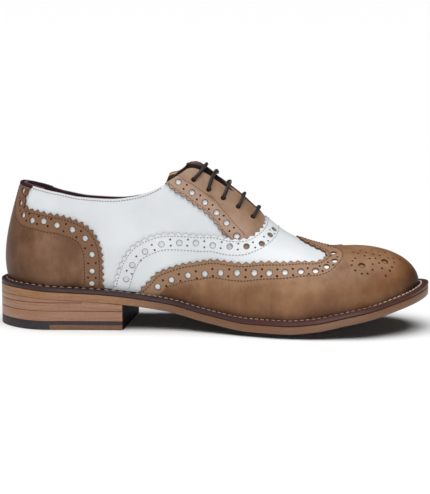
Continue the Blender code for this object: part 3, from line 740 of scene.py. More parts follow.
def heel_rubber(name):
    """Moulded black-brown rubber: matt, with faint dust."""
    made, tree = finish(name)
    place = node(tree, "TexCoord").outputs["Object"]
    specks = node(tree, "TexNoise", {"Vector": place, "Scale": 1 / 0.002, "Detail": 6.0})
    colour = node(tree, "ValToRGB", {"Fac": specks.outputs["Fac"]},
                  stops=((0.3, "231b20"), (0.75, "352b31")))
    bump = node(tree, "Bump", {"Height": specks.outputs["Fac"], "Strength": 0.2, "Distance": 0.0002})
    surface(tree, Base_Color=colour.outputs["Color"], Roughness=0.62, Normal=bump.outputs["Normal"],
            IOR=1.52)
    return made


def waxed_cotton(name, body, deep, braid_mm):
    """Braided cotton, waxed: crossing strands show as a diamond relief, drawn coarser than a real one."""
    made, tree = finish(name)
    run = node(tree, "UVMap")
    turned = node(tree, "Mapping", {"Vector": run.outputs["UV"], "Rotation": (0, 0, math.pi / 4),
                                    "Scale": (math.pi * LACE / braid_mm, LACE_RUN / braid_mm, 1.0)})
    cells = node(tree, "TexChecker", {"Vector": turned.outputs["Vector"], "Scale": 1.0})
    place = node(tree, "TexCoord").outputs["Object"]
    fuzz = node(tree, "TexNoise", {"Vector": place, "Scale": 1 / 0.0015, "Detail": 4.0})
    colour = node(tree, "ValToRGB", {"Fac": fuzz.outputs["Fac"]}, stops=((0.3, deep), (0.7, body)))
    bump = node(tree, "Bump", {"Height": cells.outputs["Fac"], "Strength": 0.35, "Distance": 0.0002})
    surface(tree, Base_Color=colour.outputs["Color"], Roughness=0.5, Normal=bump.outputs["Normal"],
            IOR=1.4, Sheen_Weight=0.05)
    return made


def thread(name, body, deep):
    """Waxed sewing thread: twisted strands in two close tones, drawn coarser than real ones."""
    made, tree = finish(name)
    place = node(tree, "TexCoord").outputs["Object"]
    twist = node(tree, "TexNoise", {"Vector": place, "Scale": 1 / 0.0009, "Detail": 3.0})
    colour = node(tree, "ValToRGB", {"Fac": twist.outputs["Fac"]}, stops=((0.35, deep), (0.65, body)))
    surface(tree, Base_Color=colour.outputs["Color"], Roughness=0.6, IOR=1.5)
    return made


WING_CALF = antiqued_calf("burnished_tan_calf", "a37d5d", "8d684a", "745037", "6c3812", "a07e64")
COUNTER_CALF = antiqued_calf("antiqued_tan_calf", "8d6b55", "78563f", "5d3f28", "4a2a0e", "846149")
FACING_CALF = antiqued_calf("pale_tan_calf", "b59683", "a2846d", "8a694d", "6a4220", "b09281")
WHITE_CALF = white_calf("white_calf")
LINING = plain_leather("dark_lining_leather", "8a6671", "6b4c56", 0.6)
ROLL_LEATHER = plain_leather("dark_roll_leather", "35242a", "23161b", 0.6)
FACING_LINING = plain_leather("tan_lining_leather", "bd9c7e", "a68666", 0.6)
# its cut colour also makes the painted highlight on the tongue's crown
TONGUE_LEATHER = plain_leather("tongue_leather", "1e1112", "140b0c", 0.75, cut="7c5a54")
SOCK_LEATHER = plain_leather("sock_leather", "4a3028", "36221c", 0.6)
WELT_LEATHER = edged_leather("dark_welt_leather", "412628", "331d1f", "251416", 1.2, ("4d251c", 60, 130))
SOLE_LEATHER = edged_leather("sole_leather_edge", "a97b57", "976b47", "7e5638", 1.6, ("6f4b33", 18, 52))
HEEL_LEATHER = edged_leather("heel_stack_leather", "aa7e62", "9a7055", "865d44", 1.4, ("9a7055", 60, 130))
INSERT_LEATHER = edged_leather("heel_insert_leather", "865c3d", "724c31", "5e3c26", 1.6, ("724c31", 60, 130))
HEEL_RUBBER = heel_rubber("heel_rubber")
# painted shadow: dark discs in the tan panels' small holes, and grey discs and rings in the white vamp's
# holes
DARK_HOLE_SHADOW = plain_leather("dark_hole_shadow_paint", "4a2c18", "301a0e", 0.8)
GREY_HOLE_SHADOW = plain_leather("grey_hole_shadow_paint", "77777a", "5c5c60", 0.8)
# painted shadow: the faint grey line along the white vamp's pinked edge
PALE_EDGE_SHADOW = plain_leather("pale_edge_shadow_paint", "b4b3ae", "a09f9a", 0.8)
# painted light: a white brighter than the white calf, so that the bottoms of the tan panels' large holes
# look lit
PAINTED_LIT_WHITE = plain_leather("painted_lit_white_leather", "fcfdfe", "f4f6f7", 0.6)
# painted shade: the heel's front, which lies in deep shade
BREAST_SHADE = plain_leather("heel_front_painted_shade", "1c1513", "120d0c", 0.7)
SOLE_STAIN = plain_leather("stained_sole_leather", "3c2a20", "2c1d16", 0.55)
# painted shadow, partly the edges' own darker colour: the brown line along tan cut edges and round their
# holes
DARK_EDGE_SHADOW = plain_leather("brown_edge_shadow_paint", "5f4128", "492f1b", 0.8)
LACE_COTTON = waxed_cotton("waxed_lace_cotton", "2a1c19", "1b110f", 1.1)
DARK_THREAD = thread("dark_brown_thread", "4a3220", "382414")
FACING_THREAD = thread("mid_brown_thread", "80603f", "62452c")
PALE_THREAD = thread("greige_thread", "9d998c", "858174")
COLLAR_THREAD = thread("brown_grey_thread", "9c8f7c", "857866")
WELT_THREAD = thread("cream_welt_thread", "e4d9c8", "cbbda6")
HEEL_THREAD = thread("beige_welt_thread", "c9b29d", "ae957f")


# The upper

SIDES = (-1, 1)
QUARTER = 1.0            # white quarter leather; the lining makes up the rest of the wall
LINING_THICK = 1.0
SIDE_NAMES = {-1: "medial", 1: "lateral"}
FINE_STATIONS = np.concatenate([np.linspace(HEEL_END, 0, HEEL_POINTS),
                                np.linspace(0, TOE_X, BODY_POINTS)[1:],
                                np.linspace(TOE_X, TOE_END, TOE_POINTS)[1:]])


def between(first, final):
    """Fine stations from one to the other, both included."""
    low = min(first, final) + STATION_APART
    high = max(first, final) - STATION_APART
    inner = FINE_STATIONS[(FINE_STATIONS > low) & (FINE_STATIONS < high)]
    return np.concatenate([[first], inner if final > first else inner[::-1], [final]])


def lower_edge(first, final, side, trim=FEATHER_TRIM):
    stations = between(first, final)
    return to_pattern(stations, side, full_girth(stations, side) - trim)


def top_edge(first, final, side, inset=0.0):
    stations = between(first, final)
    return to_pattern(stations, side, down_to_top(stations, side) + inset)


EDGE_CLEAR = 0.2         # how far panel edges keep off the lower edge and the ridge


def above_feather(path, margin):
    """The part of a path that keeps a distance from the lower edge and from the ridge's far side."""
    station, side, down = from_pattern(path)
    ends = np.array([full_girth(s, w)[0] for s, w in zip(station, side)])
    start_side = side[0]
    return path[(down < ends - margin) & (path[:, 1] * start_side > EDGE_CLEAR)]


def decorated_path(edge, side, peak=None):
    """A panel's edge from the lower edge upwards, ending on the ridge where it has a peak."""
    path = above_feather(edge_path(edge, side), FEATHER_TRIM + EDGE_CLEAR)
    if peak:
        path = np.vstack([path, flow([path[-1], (peak, 0.0)])[1:]])
    return path


ROW_MARGIN = 2.0         # stitch rows end this far above the lower edge


def row_of(path, inset, side_sign):
    return above_feather(shift(path, inset * side_sign), ROW_MARGIN)


def broguing(places, side, large, small, spread):
    """Punched holes: large ones at their places, and a small pair across the row between each two."""
    station, height = np.array(places, float).T
    spots = to_pattern(station, side, down_to_height(station, side, height))
    holes = [(spot, large / 2) for spot in spots]
    for away in (-spread, spread):
        holes += [(spot, small / 2) for spot in shift((spots[:-1] + spots[1:]) / 2, away)]
    return holes


HOLE_MARGIN = 0.4        # leather left beside a hole


def fitting(holes, outline, others=()):
    """Holes that lie whole inside the outline and clear of the others."""
    kept = []
    for centre, radius in holes:
        spot = np.array([centre])
        clear = nearest(spot, outline)[0] > radius + HOLE_MARGIN
        apart = all(np.hypot(*(centre - other)) > radius + size + HOLE_MARGIN
                    for other, size in [*kept, *others])
        if clear and apart and inside(spot, outline)[0]:
            kept.append((centre, radius))
    return kept


def seam(path, lift):
    """A line for stitches: points and outward directions just above a panel's face."""
    length = distance_along(path)[-1]
    even = at_lengths(path, np.linspace(0, length, max(2, int(length / SEAM_SPACING))))
    return raised(even, lift)


def rising(x, start, end):
    """0 up to the start, 1 from the end, even between."""
    return np.clip((x - start) / (end - start), 0, 1)


# What the panels gather for the pieces that are made of all of them at the end
dark_seams = []
facing_seams = []
pale_seams = []
collar_seams = []
# painted shadow: lines along cut edges and round large holes, partly the edges' own darker colour
tan_painted_shadows = []
white_edge_painted_shadows = []
white_rim_painted_shadows = []
# painted shadow: discs in the small holes of the tan panels
tan_pinhole_shadows = []
# painted light: discs in the tan panels' large holes
painted_lit_holes = []
vamp_white_holes = []
# painted shadow: discs in the small holes of the white vamp
white_pinhole_shadows = []
PINHOLE_DEEP = 0.45      # how far up a hole's bottom disc stands: the disc of painted shadow in a small hole, and the white pressed up into the vamp's large holes
PINHOLE_OVER = 1.1       # discs are a little wider than their holes
HOLE_DEEP = -0.12        # in a large hole it stays below the panel
HOLE_OVER = 1.05
HOLE_DISC = 0.1
SHADOW_SUNK = 0.1           # how far the bead of painted shadow along a cut edge lies below the panel's face
TAN_SHADOW_RADIUS = 0.22         # and its radius
WHITE_SHADOW_RADIUS = 0.16


def pinholes(holes, lift):
    """The small holes among others, as rings for their bottom discs of painted shadow, and the panel's lower
    face there.
    """
    return [(ring(centre, radius * PINHOLE_OVER, SMALL_RING_SIDES), lift)
            for centre, radius in holes if radius < LARGE_HOLE]


def showing_white(holes, lift):
    """The large holes of a row, as rings for the white leather that is pressed up into them; under the tan
    panels that white is painted lighter, as painted light.
    """
    return [(ring(centre, radius * HOLE_OVER, RING_SIDES), lift)
            for centre, radius in holes if radius > LARGE_HOLE]


def hole_bottoms(name, rings, deep):
    """Bottoms of punched holes: a thin disc in each, at the given depth. In the vamp's large holes on white
    it is the white pressed up from below, in the tan panels' large holes a white painted lighter as painted
    light, and in the small holes a dark painted shadow.
    """
    points = []
    faces = []
    for loop, lift in rings:
        first = len(points)
        points += [*raised(loop, lift + min(deep, 0) - HOLE_DISC)[0], *raised(loop, lift + deep)[0]]
        turns = np.arange(len(loop))
        after = np.roll(turns, -1)
        walls = np.stack([turns, after, after + len(loop), turns + len(loop)], -1)
        faces += [(first + turns[::-1]).tolist(), (first + turns + len(loop)).tolist(),
                  *(first + walls).tolist()]
    return from_arrays(name, np.array(points), faces)


def hole_rims(holes, lift):
    """The large holes among others, as closed lines round their upper edges."""
    loops = [ring(centre, radius, RING_SIDES) for centre, radius in holes if radius > LARGE_HOLE]
    return [(np.vstack([loop, loop[:2]]), lift) for loop in loops]


def shadow_beads(name, lines, radius):
    """A fine dark bead along cut edges and round large holes: partly the cut edge's own darker colour,
    mostly painted shadow along the step.
    """
    points = []
    faces = []
    for path, lift in lines:
        rings = tube(raised(path, lift)[0], radius, BEAD_SIDES)
        faces += [tuple(len(points) + i for i in face) for face in tube_faces(len(rings), BEAD_SIDES)]
        points += rings.reshape(-1, 3).tolist()
    return from_arrays(name, np.array(points), faces)


# Wing cap: pinked edge, two stitch rows, broguing, and the medallion on the toe
WING_TEETH = (5.1, 1.8)          # pitch and depth
WING_ROWS = (3.1, 12.8)          # stitch rows, in from the pinked edge
WING_BROGUING = (4.6, 1.7, 2.4)  # large and small holes, and the small ones' distance off the row
wing_paths = {side: decorated_path(WING_EDGE, side, WING_PEAK) for side in SIDES}
# Medallion holes as x and distance off the toe's centre line, seen from above, and their radii
MEDALLION_LARGE_HOLE = 2.3
MEDALLION_SMALL_HOLE = 0.8
MEDALLION_LARGE = ((216.5, 30.5), (232.5, 21.5))
MEDALLION_SMALL = ((210, 27), (209.5, 31), (212, 24), (212, 35), (216.5, 36.5), (220.5, 35.5), (224, 32),
                   (224, 27.5), (222, 22.5), (218.5, 20), (214, 17), (219.5, 14.5), (224.5, 16), (226, 21),
                   (228.5, 25), (230.5, 28.5), (233, 32), (236, 27.5), (237.5, 24), (239, 18), (235, 16),
                   (229, 16), (228, 10.5), (223.5, 9), (215.5, 12), (233, 8.5), (238.5, 13), (243.5, 9.5),
                   (210.5, 15.5))


def from_above(x, off, side):
    """Pattern point of a place on the wing cap's face, seen from above, off the toe's centre line."""
    wanted = np.array((x, off), float)
    base = wanted.copy()
    for _ in range(4):
        past = max(base[0] - TOE_X, 0.0)
        station = np.array([min(base[0], TOE_X) + TOE_FAN * math.atan2(past, base[1]) / (math.pi / 2)])
        reach, _, girth = section(station, side)
        top = reach[:, 0].argmax() + 1
        down = np.interp(math.hypot(past, base[1]), reach[:top, 0], girth[:top, 0])
        spot = to_pattern(station, side, np.array([down]))
        face = raised(spot, WING_TOP)[0][0]
        base += wanted - (face[0], side * (face[1] - TOE_SHIFT))
        base[1] = max(base[1], 0.0)
    return spot[0]


def round_toe(paths, teeth):
    """Outline of a panel that wraps the toe: pinked edges on both sides, joined by the lower edge."""
    starts = {side: from_pattern(paths[side][:1])[0][0] for side in SIDES}
    return np.vstack([toothed(paths[-1], *teeth, left=False), toothed(paths[1], *teeth, left=True)[-2::-1],
                      lower_edge(starts[1], TOE_END, 1), lower_edge(TOE_END, starts[-1], -1)[1:]])


def near_welt(plan, reach):
    """How close points are to the upper's lower edge: 0 at a reach above it, 1 on it."""
    station, side, down = from_pattern(plan)
    return np.clip(1 - (full_girth(station, side) - down) / reach, 0, 1)


BAND_PALE = 0.8


def banded(tone, plan, paths, width):
    """Tone with a paler band along pinked edges, as far in as their second stitch row."""
    away = np.minimum(nearest(plan, paths[-1]), nearest(plan, paths[1]))
    band = np.clip((width - away) / SHEET_SPACING + 0.5, 0, 1)
    return tone * (1 - band) - BAND_PALE * band


TOE_BURNISH = (216, 264)         # where the toe's burnish starts and is full
TOE_DARK = 0.8
LOW_BURNISH_AND_SHADE_REACH = 24                # how high the burnish and painted shade along the welt reach
WELT_DARK = 0.85
WELT_FADE = (200, 235)           # where it goes down by half


def wing_tone(plan):
    """Burnish of the wing cap: dark at the toe, and along the welt dark with burnish and painted shade."""
    x = on_last(plan)[:, 0]
    low = (1 - 0.5 * rising(x, *WELT_FADE)) * near_welt(plan, LOW_BURNISH_AND_SHADE_REACH)
    tone = np.clip(TOE_DARK * rising(x, *TOE_BURNISH) + WELT_DARK * low, 0, 1)
    return banded(tone, plan, wing_paths, WING_ROWS[1])


BACKING = 0.15
BACKING_LIFT = 0.05
BACKING_EDGE = ((206, 0), (206, 36), (214, 41), (226, 38), (238, 33), (246, 20), (248, 0))


def make_backing():
    """A thin tan piece behind the medallion, so that its holes show tan and not the vamp."""
    halves = [[from_above(x, off, side) for x, off in BACKING_EDGE] for side in SIDES]
    outline = flow(np.array(halves[0] + halves[1][-2:0:-1] + halves[0][:1]))[:-1]
    dress(sheet("medallion_backing", outline, PANEL_TOP + BACKING_LIFT, BACKING, tone=wing_tone), WING_CALF,
          "burnished_leather")


def make_wing():
    outline = round_toe(wing_paths, WING_TEETH)
    holes = []
    for side in SIDES:
        holes += [(from_above(x, off, side), MEDALLION_LARGE_HOLE) for x, off in MEDALLION_LARGE]
        holes += [(from_above(x, off, side), MEDALLION_SMALL_HOLE) for x, off in MEDALLION_SMALL]
        row = broguing(WING_HOLES, side, *WING_BROGUING)
        painted_lit_holes.extend(showing_white(row, WING_LOW))
        holes += row
        for inset in WING_ROWS:
            dark_seams.append(seam(row_of(wing_paths[side], inset, side), WING_TOP))
    holes = fitting(holes, outline)
    tan_pinhole_shadows.extend(pinholes(holes, WING_LOW))
    tan_painted_shadows.extend(hole_rims(holes, WING_TOP - SHADOW_SUNK))
    tan_painted_shadows.extend((toothed(wing_paths[side], *WING_TEETH, left=side > 0), WING_TOP - SHADOW_SUNK)
                     for side in SIDES)
    dress(sheet("wing_cap_calf", outline, WING_LOW, COVER, punches=holes, tone=wing_tone), WING_CALF,
          "burnished_leather", "wing_cap")


VAMP_TEETH = (5.0, 1.8)
VAMP_ROWS = (2.6, 12.0)
VAMP_BROGUING = (4.3, 1.5, 2.1)
VAMP_HOLES_ON_WHITE = 7  # the others lie over the facing
vamp_paths = {side: decorated_path(VAMP_EDGE, side, VAMP_PEAK) for side in SIDES}
vamp_outline = round_toe(vamp_paths, VAMP_TEETH)


def make_vamp():
    holes = []
    for side in SIDES:
        row = broguing(VAMP_HOLES, side, *VAMP_BROGUING)
        vamp_white_holes.extend(showing_white(row[:VAMP_HOLES_ON_WHITE], GAP))
        holes += row
        for inset in VAMP_ROWS:
            pale_seams.append(seam(row_of(vamp_paths[side], inset, side), PANEL_TOP))
    holes = fitting(holes, vamp_outline)
    white_pinhole_shadows.extend(pinholes(holes, GAP))
    white_rim_painted_shadows.extend(hole_rims(holes, PANEL_TOP - SHADOW_SUNK))
    white_edge_painted_shadows.extend((toothed(vamp_paths[side], *VAMP_TEETH, left=side > 0), PANEL_TOP - SHADOW_SUNK)
                       for side in SIDES)
    dress(sheet("vamp_calf", vamp_outline, GAP, COVER, punches=holes), WHITE_CALF, "white_leather", "vamp")


def below_top(path, margin):
    station, side, down = from_pattern(path)
    tops = np.array([down_to_top(s, w)[0] for s, w in zip(station, side)])
    return path[down > tops + margin]


COUNTER_TEETH = (4.8, 2.0)
COUNTER_ROWS = (3.2, 13.8)
COUNTER_BROGUING = (4.3, 1.6, 2.7)
COUNTER_TOP = 1.7        # how far below the collar it ends, under the roll
COUNTER_SEAM_TOP = 2.0   # and its stitches
counter_paths = {side: below_top(decorated_path(COUNTER_EDGE, side), COUNTER_TOP) for side in SIDES}


REAR_BURNISH_AND_SHADE = (5, 40)           # how far behind the heel's centre its burnish and painted shade start and are full
BACK_DARK = 0.75
BACK_FADE = (72, 86)             # heights between which it fades
BACK_FADED = 0.8
# how high, and how dark, the burnish and painted shade along the welt are
COUNTER_LOW_SHADE_AND_BURNISH = 14
COUNTER_WELT_DARK = 0.35


def counter_tone(plan):
    """Burnish and painted shade of the counter: dark round the back of the heel, and a little along the
    welt.
    """
    x, _, z = on_last(plan).T
    rear = rising(-x, *REAR_BURNISH_AND_SHADE) * (1 - BACK_FADED * rising(z, *BACK_FADE))
    low = near_welt(plan, COUNTER_LOW_SHADE_AND_BURNISH)
    tone = np.clip(BACK_DARK * rear + COUNTER_WELT_DARK * low, 0, 1)
    return banded(tone, plan, counter_paths, COUNTER_ROWS[1])


def make_counter():
    foot = {side: from_pattern(counter_paths[side][:1])[0][0] for side in SIDES}
    head = {side: from_pattern(counter_paths[side][-1:])[0][0] for side in SIDES}
    pinked = {side: toothed(counter_paths[side], *COUNTER_TEETH, left=side < 0) for side in SIDES}
    outline = np.vstack([
        pinked[-1], top_edge(head[-1], HEEL_END, -1, COUNTER_TOP),
        top_edge(HEEL_END, head[1], 1, COUNTER_TOP)[1:], pinked[1][::-1],
        lower_edge(foot[1], HEEL_END, 1), lower_edge(HEEL_END, foot[-1], -1)[1:]])
    holes = []
    for side in SIDES:
        holes += broguing(COUNTER_HOLES, side, *COUNTER_BROGUING)
        for inset in COUNTER_ROWS:
            line = below_top(row_of(counter_paths[side], inset, -side), COUNTER_SEAM_TOP)
            dark_seams.append(seam(line, PANEL_TOP))
    holes = fitting(holes, outline)
    painted_lit_holes.extend(showing_white(holes, GAP))
    tan_pinhole_shadows.extend(pinholes(holes, GAP))
    tan_painted_shadows.extend(hole_rims(holes, PANEL_TOP - SHADOW_SUNK))
    tan_painted_shadows.extend((pinked[side], PANEL_TOP - SHADOW_SUNK) for side in SIDES)
    dress(sheet("heel_counter_calf", outline, GAP, COVER, punches=holes, tone=counter_tone), COUNTER_CALF,
          "tan_leather", "heel_counter")


# Facings: their front ends are skived thin and run in under the vamp, where its holes show them
TAIL_EDGE = ((127, 59), (142, 58), (150, 60.5), (156, 64.5), (158.5, 68))
FACING_TEETH = (4.9, 1.5)
FACING_ROWS = (2.3, 11.6)
FACING_BROGUING = (4.4, 1.5, 1.9)
FACING_BURNISH = (104, 150)
FACING_DARK = 0.45
FACING_SPACING = 2.0
FACING_TOP = 0.1         # how far below the collar its gimped edge ends
RIDGE_FROM = VAMP_PEAK + 5   # where its edge along the ridge starts
RIDGE_GAP = 0.15         # from each facing's tail to the ridge
SKIVE = 4.0              # how far off the vamp its thickness is full
SKIVED = 0.2             # its thickness under the vamp
SKIVED_LIFT = 0.05
EYELET_SPOTS = {side: [to_pattern(np.array([s]), side, np.array([g]))[0] for s, g, *_ in LACE_BARS]
                for side in SIDES}


def full_share(plan):
    """How much of its thickness the facing has: none under the vamp, all a little way off it."""
    away = np.minimum(nearest(plan, vamp_paths[-1]), nearest(plan, vamp_paths[1]))
    return np.where(inside(plan, vamp_outline), 0.0, np.clip(away / SKIVE, 0, 1))


facing_paths = {side: below_top(edge_path(FACING_EDGE, side), FACING_TOP) for side in SIDES}


def facing_tone(plan):
    """Burnish of the facings: a little darker towards the vamp."""
    tone = FACING_DARK * rising(on_last(plan)[:, 0], *FACING_BURNISH)
    return banded(tone, plan, facing_paths, FACING_ROWS[1])


def make_facing(side):
    name = "facing_" + SIDE_NAMES[side]
    path = facing_paths[side]
    corner = from_pattern(path[-1:])[0][0]
    tail = edge_path(TAIL_EDGE, side)
    throat = top_edge(corner, VAMP_PEAK, side)
    throat[:, 1] = side * np.maximum(np.abs(throat[:, 1]), RIDGE_GAP)
    ridge = np.array([(RIDGE_FROM, side * RIDGE_GAP), (tail[-1, 0] + 1, side * RIDGE_GAP)])
    gimped = toothed(path, *FACING_TEETH, left=side > 0, round_tips=True)
    outline = np.vstack([gimped, throat, ridge, tail[::-1]])
    eyelets = [(spot, EYELET / 2) for spot in EYELET_SPOTS[side]]
    holes = fitting(broguing(FACING_HOLES, side, *FACING_BROGUING), outline, eyelets)
    open_holes = [hole for hole in holes if not inside(hole[0][None], vamp_outline)[0]]
    painted_lit_holes.extend(showing_white(open_holes, GAP))
    tan_pinhole_shadows.extend(pinholes(open_holes, GAP))
    tan_painted_shadows.extend(hole_rims(open_holes, PANEL_TOP - SHADOW_SUNK))
    tan_painted_shadows.append((gimped[~inside(gimped, vamp_outline)], PANEL_TOP - SHADOW_SUNK))
    dress(sheet(name + "_calf", outline, lambda plan: SKIVED_LIFT + (GAP - SKIVED_LIFT) * full_share(plan),
                lambda plan: SKIVED + (COVER - SKIVED) * full_share(plan),
                punches=eyelets + holes, spacing=FACING_SPACING, tone=facing_tone),
          FACING_CALF, "tan_leather", name)
    for inset in FACING_ROWS:
        line = row_of(path, inset, side)
        facing_seams.append(seam(line[~inside(line, vamp_outline)], PANEL_TOP))


FACING_START = 75.0      # forward of it the lining is tan
COLLAR_SEAM = (-23, 77)  # stations between which the collar is stitched
COLLAR_SEAM_IN = 1.7
COLLAR_FRONT = FACING_START + 0.5   # where the collar's folded edge ends
LINING_APART = 0.02


def make_quarters():
    """White quarters over a dark lining, which is tan behind the facings."""
    outline = np.vstack([lower_edge(HEEL_END, TOE_END, -1, 0.0),
                         lower_edge(TOE_END, HEEL_END, 1, 0.0)[1:-1]])
    opening = np.vstack([top_edge(HEEL_END, VAMP_PEAK, -1), top_edge(VAMP_PEAK, HEEL_END, 1)[1:-1]])
    eyelets = [(spot, EYELET / 2) for side in SIDES for spot in EYELET_SPOTS[side]]
    quarters = sheet("quarters_calf", outline, -QUARTER, QUARTER, [opening], eyelets, cut=0.0)
    quarters.data.materials.append(WHITE_CALF)
    quarters.data.materials.append(FACING_LINING)
    dress(quarters, None, "white_leather", "upper")
    thick = LINING_THICK - LINING_APART
    lining = sheet("lining", outline, -QUARTER - LINING_THICK, thick, [opening], eyelets)
    lining.data.materials.append(LINING)
    lining.data.materials.append(FACING_LINING)
    forward = (FACING_START - HEEL_REST_X) * MM
    for face in lining.data.polygons:
        face.material_index = int(face.center.x > forward)
    for face in quarters.data.polygons:
        face.material_index = int(face.center.x > forward and len(face.vertices) == RIM_CORNERS)
    dress(lining, None, "insole_leather")
    for side in SIDES:
        collar_seams.append(seam(top_edge(*COLLAR_SEAM, side, COLLAR_SEAM_IN), 0.0))


HEEL_GRIP_END = -10.5    # how far forward the heel's second lining reaches
HEEL_GRIP_RISE = 1.0     # above the collar
HEEL_GRIP_DEEP = 16.0    # and down from it
HEEL_GRIP = 0.9
HEEL_GRIP_APART = 0.05
ROLL = 1.0               # radius of the collar's folded edge
HEEL_ROLL = (            # the padded roll on top of the heel: station, radius, inset, lift
    (-56.0, 1.6, 0.9, 0.0), (-31.0, 1.4, 0.8, -0.1), (-26.0, 1.2, 0.8, -0.6), (-19.0, 0.6, 0.8, -1.6),
    (-15.0, 0.3, 0.8, -1.7),
)


def collar_path(first, inset):
    """A pattern line along the collar, from the inner side round the heel to the outer side."""
    stations = between(first, HEEL_END)
    inset = np.interp(stations, *inset) if np.ndim(inset) else np.full(len(stations), inset)
    halves = [to_pattern(stations, side, down_to_top(stations, side) + inset) for side in SIDES]
    return np.vstack([halves[0], halves[1][-2::-1]]), np.concatenate([stations, stations[-2::-1]])


def rolled_edge(name, line, out, radius, finishes):
    """A rounded edge along a line: the first finish outside, the second on the side towards the foot."""
    rings = tube(line, radius, ROLL_SIDES)
    piece = from_arrays(name, rings.reshape(-1, 3), tube_faces(len(rings), ROLL_SIDES))
    for made in finishes:
        piece.data.materials.append(made)
    away = ((rings - line[:, None]) * out[:, None]).sum(axis=-1)
    inner = (away[:-1] + away[1:]).ravel() < 0
    for face, dark in zip(piece.data.polygons, inner):
        face.material_index = int(dark) * (len(finishes) - 1)
    return piece


def make_collar():
    """The folded white edge of the quarters, the heel's second lining, and its dark roll on top."""
    path, _ = collar_path(COLLAR_FRONT, ROLL)
    dress(rolled_edge("collar_edge", *raised(path, -ROLL), ROLL, (WHITE_CALF, LINING)), None,
          "white_leather")
    outline = np.vstack([collar_path(HEEL_GRIP_END, -HEEL_GRIP_RISE)[0],
                         collar_path(HEEL_GRIP_END, HEEL_GRIP_DEEP)[0][::-1]])
    dress(sheet("heel_grip", outline, -QUARTER - LINING_THICK - HEEL_GRIP - HEEL_GRIP_APART, HEEL_GRIP),
          LINING, "insole_leather")
    marks, radii, insets, lifts = np.array(HEEL_ROLL).T
    path, stations = collar_path(marks[-1], (marks, insets))
    line, out = raised(path, np.interp(stations, marks, lifts))
    thick = np.interp(stations, marks, radii)
    dress(rolled_edge("heel_roll", line, out, thick, (ROLL_LEATHER,)), None, "insole_leather")


TONGUE_RISE_FROM = 116.0  # behind it the free end lifts
TONGUE_ROUND = 8.5       # how blunt its point is
TONGUE_BACK = 83.0       # its sides end here
TONGUE_HIGHLIGHT_RUN = 10.0       # length of the painted highlight on its crown
TONGUE_CROWN = 5.5       # and its half width
TONGUE_CURL = 6.5        # how far its free end bends in
TONGUE_CURLED = 9.0      # and over what length
TONGUE_THIN = 0.3        # share of its thickness left at the free end
TONGUE_ACROSS = 41       # points along its ends
TONGUE_ALONG = 30        # and along its sides


def free_end(girth):
    """Station of the tongue's free end: a blunt point on the ridge, running back on both sides."""
    point = TONGUE_TOP + TONGUE_SLOPE * (TONGUE_ROUND - np.sqrt(girth ** 2 + TONGUE_ROUND ** 2))
    return np.maximum(point, TONGUE_BACK)


def tongue_face(station, girth):
    """Depth of the tongue's outer face below the last: less towards its free end, which curls in."""
    free = np.clip((TONGUE_RISE_FROM - station) / (TONGUE_RISE_FROM - TONGUE_TOP), 0, 1)
    curl = TONGUE_CURL * np.clip(1 - (station - free_end(girth)) / TONGUE_CURLED, 0, 1) ** 2
    return TONGUE_LIFTED * free - curl - TONGUE_DEPTH - TONGUE_TUCK * np.abs(girth) / TONGUE_HALF


def tongue_thick(plan):
    """The tongue is thinned towards its free end."""
    full = np.clip((plan[:, 0] - free_end(plan[:, 1])) / TONGUE_CURLED, 0, 1)
    return TONGUE * (TONGUE_THIN + (1 - TONGUE_THIN) * full)


def crown_highlight(plan):
    """A painted highlight on the tongue: most on the crown of its free end, which faces the light from
    above.
    """
    along = np.clip(1.3 - (plan[:, 0] - free_end(plan[:, 1])) / TONGUE_HIGHLIGHT_RUN, 0, 1)
    return along * np.clip(2 - 2 * np.abs(plan[:, 1]) / TONGUE_CROWN, 0, 1)


def make_tongue():
    """A strip under the throat, with a rounded free end above the collar."""
    across = np.linspace(-TONGUE_HALF, TONGUE_HALF, TONGUE_ACROSS)
    free = np.stack([free_end(across), across], -1)
    root = np.stack([np.full(len(across), TONGUE_ROOT), across], -1)
    sides = np.linspace(0, 1, TONGUE_ALONG)[1:-1, None]
    outline = np.vstack([free[::-1], free[0] + (root[0] - free[0]) * sides, root,
                         root[-1] + (free[-1] - root[-1]) * sides])
    piece = sheet("tongue_leather_strip", outline,
                  lambda plan: tongue_face(plan[:, 0], plan[:, 1]) - tongue_thick(plan), tongue_thick,
                  tone=crown_highlight)
    dress(piece, TONGUE_LEATHER, "tongue_leather", "tongue")


# Lacing
LACE_CLEAR = 0.1         # above what a bar crosses
LACE_TURN = 2.2          # radius of the lace's turn into an eyelet
LACE_END = -2.3          # how far its hidden ends go through
LACE_SIDES = 14
LACE_POINTS = 61         # along a bar
LACE_END_POINTS = 7      # through an eyelet
LACE_EASING = 3          # how often a bar's line is smoothed


def lace_line(station, reach, slant, bow):
    """One bar's middle line: up through an eyelet, over facing and tongue, down through the other."""
    over_facing = PANEL_TOP + LACE_CLEAR + LACE / 2
    line = []
    for place in np.linspace(-1, 1, LACE_POINTS):
        side = -1 if place < 0 else 1
        row = station + slant * (1 - abs(place) ** LACE_EASE) - bow * math.sin(math.pi * abs(place))
        edge = down_to_top(row, side)[0]
        away = abs(place) * reach
        over_tongue = tongue_face(row, 0.0) + LACE_CLEAR + LACE / 2
        rise = min(1.0, away / max(edge - LACE / 2, 1.0)) ** LACE_EASE
        dip = (over_facing - over_tongue) * min(1.0, max(0.0, edge - LACE) / LACE_SAG_GAP)
        left = min(LACE_TURN, reach - away)
        turn = LACE_TURN - math.sqrt(LACE_TURN ** 2 - (LACE_TURN - left) ** 2)
        line.append((row, side * away, over_facing - dip * (1.0 - rise) - turn))
    ends = np.linspace(LACE_END, over_facing - LACE_TURN, LACE_END_POINTS)[:-1]
    line = np.array([(*line[0][:2], e) for e in ends] + line + [(*line[-1][:2], e) for e in ends[::-1]])
    return raised(line[:, :2], line[:, 2])[0]


